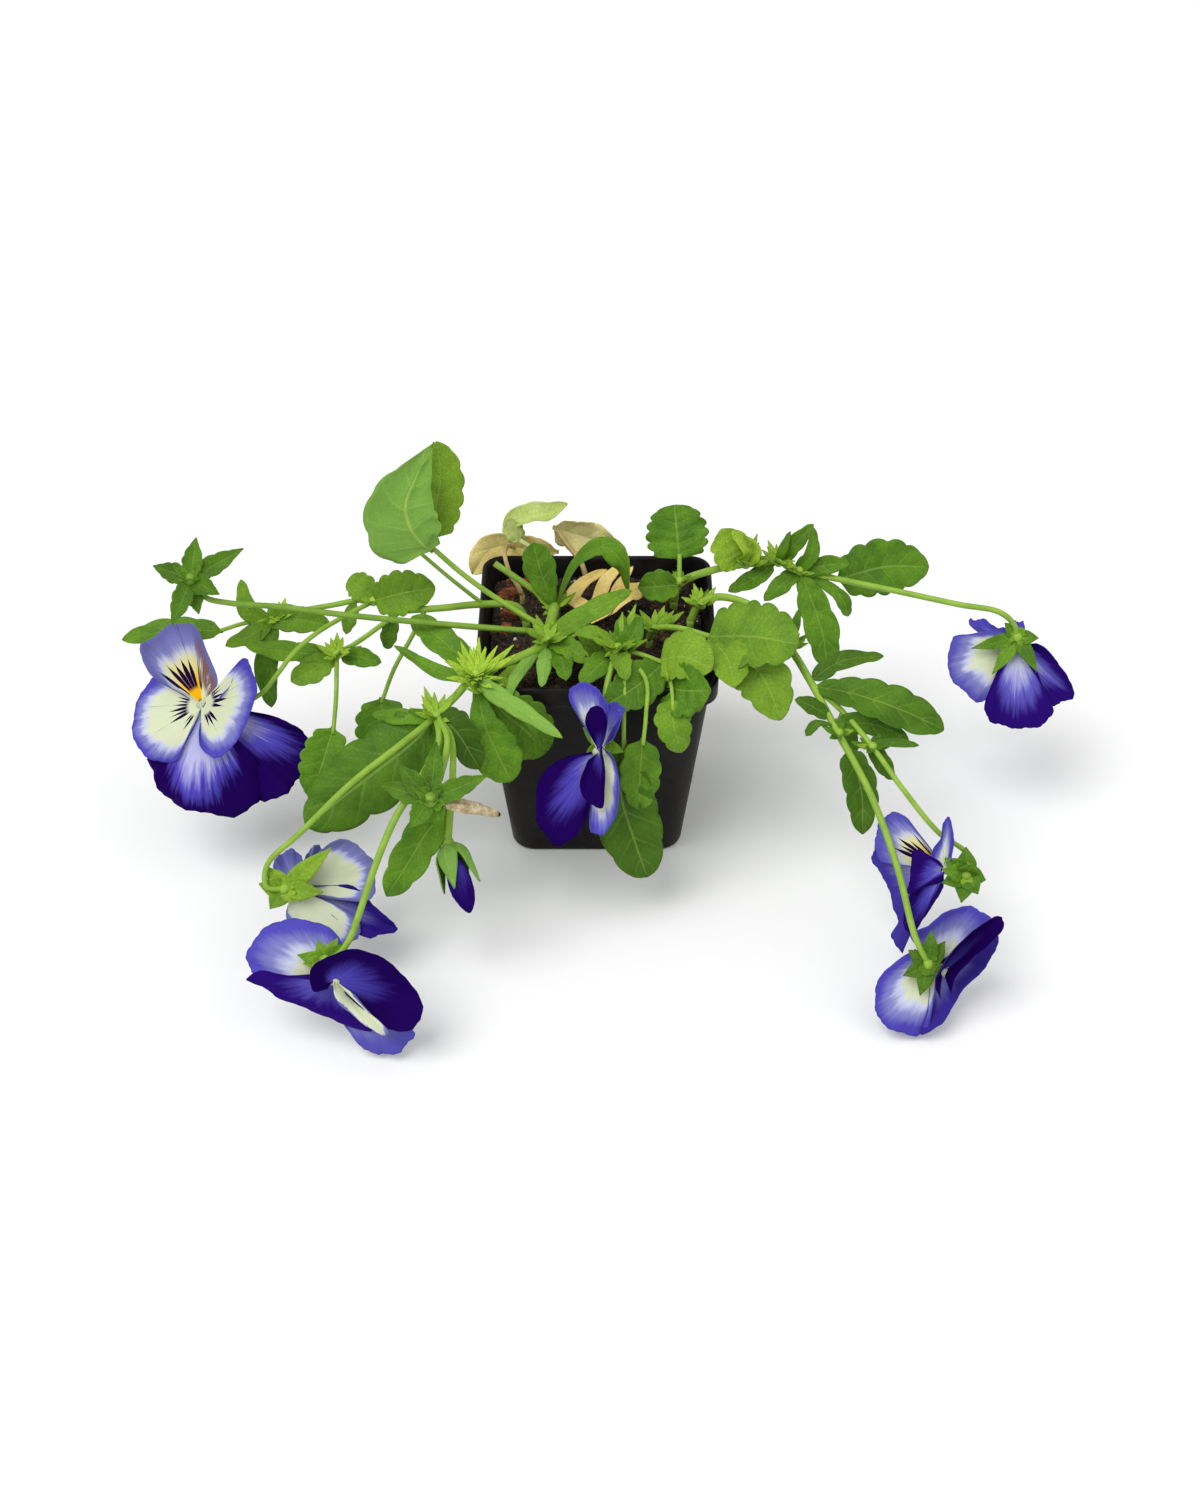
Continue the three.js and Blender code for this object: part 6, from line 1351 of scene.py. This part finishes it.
# The velvet of the petals: s runs round the rim and t from the claw to the rim.
def petal_material():
    made, tree, shader, place = new_material("pansy_petal", Specular_IOR_Level=0.02, Roughness=0.6)
    mark = {key: node(tree, "Attribute", attribute_name=key).outputs["Fac"] for key in (*MARKS, "underside")}
    s, t, _ = node(tree, "SeparateXYZ", node(tree, "UVMap", uv_map="blade").outputs[0]).outputs
    off = maths(tree, "ABSOLUTE", maths(tree, "MULTIPLY_ADD", s, 2.0, -1.0))
    # fine and broad streaks that run from the claw to the rim
    fan = node(tree, "CombineXYZ", maths(tree, "MULTIPLY", s, 46.0), maths(tree, "MULTIPLY", t, 2.2),
               maths(tree, "MULTIPLY", mark["seed"], 40.0)).outputs[0]
    streak = node(tree, "TexNoise",
                  at={"Vector": fan, "Scale": 1.0, "Detail": 3.0, "Roughness": 0.7}).outputs[0]
    broad_fan = node(tree, "CombineXYZ", maths(tree, "MULTIPLY", s, 7.0), maths(tree, "MULTIPLY", t, 1.6),
                     maths(tree, "MULTIPLY", mark["seed"], 90.0)).outputs[0]
    broad = node(tree, "TexNoise", at={"Vector": broad_fan, "Scale": 1.0, "Detail": 2.0}).outputs[0]
    dark = between(tree, mark["deep"], 0.55, 0.9)
    swing = maths(tree, "MULTIPLY_ADD", dark, 0.30, 0.22)
    ragged = maths(tree, "ADD", maths(tree, "MULTIPLY", maths(tree, "SUBTRACT", streak, 0.5), swing),
                   maths(tree, "MULTIPLY_ADD", broad, 0.30, -0.15))
    # how far a point lies from the cream heart (0) towards the rim (1); the sides count as rim
    flank = maths(tree, "MULTIPLY", maths(tree, "POWER", off, 1.7),
                  maths(tree, "MULTIPLY", t, maths(tree, "MULTIPLY_ADD", dark, 1.0, 0.24)))
    q = maths(tree, "ADD", maths(tree, "ADD", t, flank), ragged)
    zone = maths(tree, "DIVIDE", maths(tree, "SUBTRACT", q, mark["cream"]),
                 maths(tree, "MAXIMUM", maths(tree, "SUBTRACT", 1.04, mark["cream"]), 0.06))
    heart = blend_colour(tree, dark, HUES["cream"], HUES["haze"])
    soft = blend_colour(tree, dark, HUES["white"], HUES["mist"])
    middle = blend_colour(tree, dark, HUES["lilac"], HUES["cobalt"])
    outer = blend_colour(tree, between(tree, mark["deep"], 0.15, 0.5), HUES["slate"], HUES["royal"])
    outer = blend_colour(tree, between(tree, mark["deep"], 0.5, 0.75), outer, HUES["violet"])
    outer = blend_colour(tree, between(tree, mark["deep"], 0.75, 0.98), outer, HUES["black"])
    body = blend_colour(tree, between(tree, zone, -0.15, 0.10), heart, soft)
    body = blend_colour(tree, between(tree, zone, 0.04, 0.40), body, middle)
    body = blend_colour(tree, between(tree, zone, 0.34, 0.84), body, outer)
    body = blend_colour(tree, maths(tree, "MULTIPLY", mark["underside"], 0.12), body, HUES["lilac"])
    # the yellow throat of the lip
    spread = maths(tree, "ADD", off, maths(tree, "MULTIPLY", t, 0.5))
    wedge = maths(tree, "MULTIPLY", between(tree, spread, 0.85, 0.4), between(tree, t, 0.80, 0.30))
    body = blend_colour(tree, maths(tree, "MULTIPLY", wedge, mark["eye"]), body, HUES["straw"])
    gold = maths(tree, "MULTIPLY", between(tree, t, 0.46, 0.26), between(tree, off, 0.55, 0.3))
    body = blend_colour(tree, maths(tree, "MULTIPLY", gold, mark["eye"]), body, HUES["gold"])
    # dark whiskers, each of its own length, some left out
    lane = maths(tree, "MULTIPLY", s, 17.0)
    own = node(tree, "TexWhiteNoise", noise_dimensions="1D",
               at={"W": maths(tree, "ADD", maths(tree, "FLOOR", lane), mark["seed"])}).outputs[0]
    aside = maths(tree, "ABSOLUTE", maths(tree, "SUBTRACT", maths(tree, "FRACT", lane), 0.5))
    end = maths(tree, "MULTIPLY_ADD", mark["lines"], maths(tree, "MULTIPLY_ADD", own, 0.32, 0.18), 0.26)
    taper = maths(tree, "MULTIPLY", between(tree, t, end, maths(tree, "SUBTRACT", end, 0.26)), 0.47)
    unevenness = maths(tree, "MULTIPLY_ADD", streak, 0.1, -0.05)
    fine = maths(tree, "LESS_THAN", aside, maths(tree, "ADD", taper, unevenness))
    whisker = maths(tree, "MULTIPLY", fine, maths(tree, "GREATER_THAN", own, 0.22))
    whisker = maths(tree, "MULTIPLY", whisker, between(tree, t, 0.17, 0.24))
    whisker = maths(tree, "MULTIPLY", whisker, maths(tree, "GREATER_THAN", mark["lines"], 0.1))
    whisker = maths(tree, "MULTIPLY", whisker, between(tree, off, 0.58, 0.5))
    body = blend_colour(tree, whisker, body, HUES["ink"])
    dried_up = maths(tree, "MULTIPLY", mark["withered"], between(tree, streak, 0.30, 0.52))
    body = blend_colour(tree, dried_up, body, HUES["rust"])
    tree.links.new(body, shader.inputs["Base Color"])
    pile = maths(tree, "MULTIPLY", mottle(tree, place, 2200), 0.25)
    relief(tree, shader, maths(tree, "ADD", streak, pile), 0.35, 0.0004)
    return made


PETAL = petal_material()


# Writes the petals' colour marks into the mesh, for the material to read.
def with_marks(made, parts):
    for key in MARKS:
        layer = made.data.attributes.new(key, "FLOAT", "POINT")
        layer.data.foreach_set("value", np.concatenate(
            [np.broadcast_to(p["marks"][key], len(p["points"])) for p in parts]).astype(np.float32))
    return made


for letter in HEADS:
    petals = corolla(letter)
    flower = with_marks(joined("bloom_" + letter + "_petals", petals, {"petal": PETAL}), petals)
    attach(flower, "root")
    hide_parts("bloom_" + letter)

# ---- bud and dried petals ---------------------------------------------------------------
# The closed bud: violet petals rolled tight into a blunt spindle between the four sepals.
# In the spent calyx beside it the dried petals still hang, a tan wisp with a blackened tip.


# The rolled petals, with the edge of each as a low spiral ridge.
def rolled_petals():
    base = np.array(BUD["base"], float)
    tip = np.array(BUD["tip"], float)
    axis = unit(tip - base)
    across = unit(np.cross((1, 0, 0), axis))
    other = np.cross(axis, across)
    around = np.linspace(0, 2 * math.pi, 40, endpoint=False)
    along = np.linspace(0.17, 1, 26)
    fat = np.interp(along, (0.17, 0.25, 0.38, 0.55, 0.72, 0.86, 0.96, 1),
                    (0.3, 0.62, 0.9, 1, 0.95, 0.72, 0.36, 0.1))
    rings = []
    for u, wide in zip(along, fat):
        spiral = np.clip(((around / (2 * math.pi) * 3 + 1.1 * u) % 1), 0, 1)
        reach = BUD["radius"] * wide * (0.90 + 0.13 * spiral)
        rings.append(base + (tip - base) * u + np.outer(reach * np.cos(around), across)
                     + np.outer(reach * np.sin(around), other))
    spindle = grown(np.concatenate(rings), tube_faces(len(along), len(around)), "petal",
                    blade=np.stack(np.meshgrid(around / (2 * math.pi), along), -1).reshape(-1, 2))
    spindle["marks"] = {"cream": -0.3, "deep": 0.88, "eye": 0.0, "lines": 0.0, "seed": 0.4, "withered": 0.0}
    return [spindle]


# The dried petals, rolled into a folded wisp that points out of the calyx.
def dried_petals():
    path = [(-52.8, -96.4, 75.2), (-45, -95, 73), (-38, -93, 69), (-34, -92, 67)]
    along = np.linspace(0, 1, 30)
    spine = smooth_path(path, along)
    heading = unit(np.gradient(spine, axis=0))
    side = unit(np.cross(heading, (0, -0.5, 0.86)))
    other = np.cross(side, heading)
    around = np.linspace(0, 2 * math.pi, 22, endpoint=False)
    wide = np.interp(along, (0, 0.25, 0.5, 0.75, 0.9, 1), (1.3, 2.3, 1.9, 1.5, 1.35, 0.5))
    rings = []
    for u, at, one, two, reach in zip(along, spine, side, other, wide):
        folds = 1 + 0.16 * np.cos(4 * around + 5 * u) + 0.07 * np.cos(9 * around - 8 * u)
        rings.append(at + np.outer(reach * folds * np.cos(around), one)
                     + np.outer(0.8 * reach * folds * np.sin(around), two))
    return [grown(np.concatenate(rings), tube_faces(len(along), len(around)), "dried",
                  tone=np.repeat(along, len(around)))]


def dried_material():
    made, tree, shader, place = new_material("dried_petals", Roughness=0.8, Specular_IOR_Level=0.2)
    along = node(tree, "Attribute", attribute_name="tone").outputs["Fac"]
    tan = blend_colour(tree, mottle(tree, place, 420), (0.42, 0.31, 0.15), (0.72, 0.62, 0.42))
    tan = blend_colour(tree, mottle(tree, place, 900, 0.55, 0.75), tan, (0.25, 0.15, 0.07))
    tree.links.new(blend_colour(tree, between(tree, along, 0.86, 0.96), tan, (0.015, 0.018, 0.022)),
                   shader.inputs["Base Color"])
    relief(tree, shader, mottle(tree, place, 1300), 0.6, 0.0005)
    return made


spindle = rolled_petals()
rolled = with_marks(joined("bud_petals_rolled", spindle, {"petal": PETAL}), spindle)
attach(rolled, "root")
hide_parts("bud_petals")
dried = joined("dried_bud_wisp", dried_petals(), {"dried": dried_material()})
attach(dried, "root")
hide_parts("dried_bud")

# ---- table, light and camera ------------------------------------------------------------
# A plain white table, an even white surround and soft studio light; not part of the plant.
# The camera looks down on the pot from in front, as in the photograph.

TABLE_REACH = 6
SURROUND = 0.62
# Each lamp: the way it shines, how many degrees its disc spans, and its strength.
LAMPS = [("key_light", (0.45, 0.40, -1.0), 40, 1.75),
         ("fill_light", (-0.7, 0.5, -0.9), 60, 0.45)]
VIEWPOINT = (0.0013, -0.7092, 0.5782)
LOOKING_DOWN = 38
FOCAL_LENGTH, FILM_SIDE = 54.36, 36

table_corners = [(x * TABLE_REACH, y * TABLE_REACH, 0) for x, y in ((-1, -1), (1, -1), (1, 1), (-1, 1))]
floor_mesh = bpy.data.meshes.new("table_top")
floor_mesh.from_pydata(table_corners, [], [(0, 1, 2, 3)])
floor = bpy.data.objects.new("table_top", floor_mesh)
bpy.context.scene.collection.objects.link(floor)
floor_paint, floor_tree, floor_shader, floor_place = new_material("table_white", Roughness=0.9,
                                                                  Specular_IOR_Level=0.1)
white = blend_colour(floor_tree, mottle(floor_tree, floor_place, 0.8), (0.90, 0.90, 0.90), (0.91, 0.91, 0.91))
floor_tree.links.new(white, floor_shader.inputs["Base Color"])
floor_mesh.materials.append(floor_paint)

world = bpy.data.worlds.new("white_surround")
world.use_nodes = True
backdrop = world.node_tree.nodes["Background"]
backdrop.inputs["Color"].default_value = (1, 1, 1, 1)
backdrop.inputs["Strength"].default_value = SURROUND
bpy.context.scene.world = world
for name, towards, spread, strength in LAMPS:
    light = bpy.data.lights.new(name, "SUN")
    light.angle = math.radians(spread)
    light.energy = strength
    lamp = bpy.data.objects.new(name, light)
    lamp.location = (0, 0, 2)
    lamp.rotation_euler = Vector(towards).to_track_quat("-Z", "Y").to_euler()
    bpy.context.scene.collection.objects.link(lamp)

camera_data = bpy.data.cameras.new("camera")
camera_data.sensor_fit = "VERTICAL"
camera_data.sensor_height = FILM_SIDE
camera_data.sensor_width = FILM_SIDE
camera_data.lens = FOCAL_LENGTH
camera = bpy.data.objects.new("camera", camera_data)
camera.location = VIEWPOINT
camera.rotation_euler = (math.radians(90 - LOOKING_DOWN), 0, 0)
bpy.context.scene.collection.objects.link(camera)
bpy.context.scene.camera = camera
bpy.context.scene.view_settings.view_transform = "Standard"
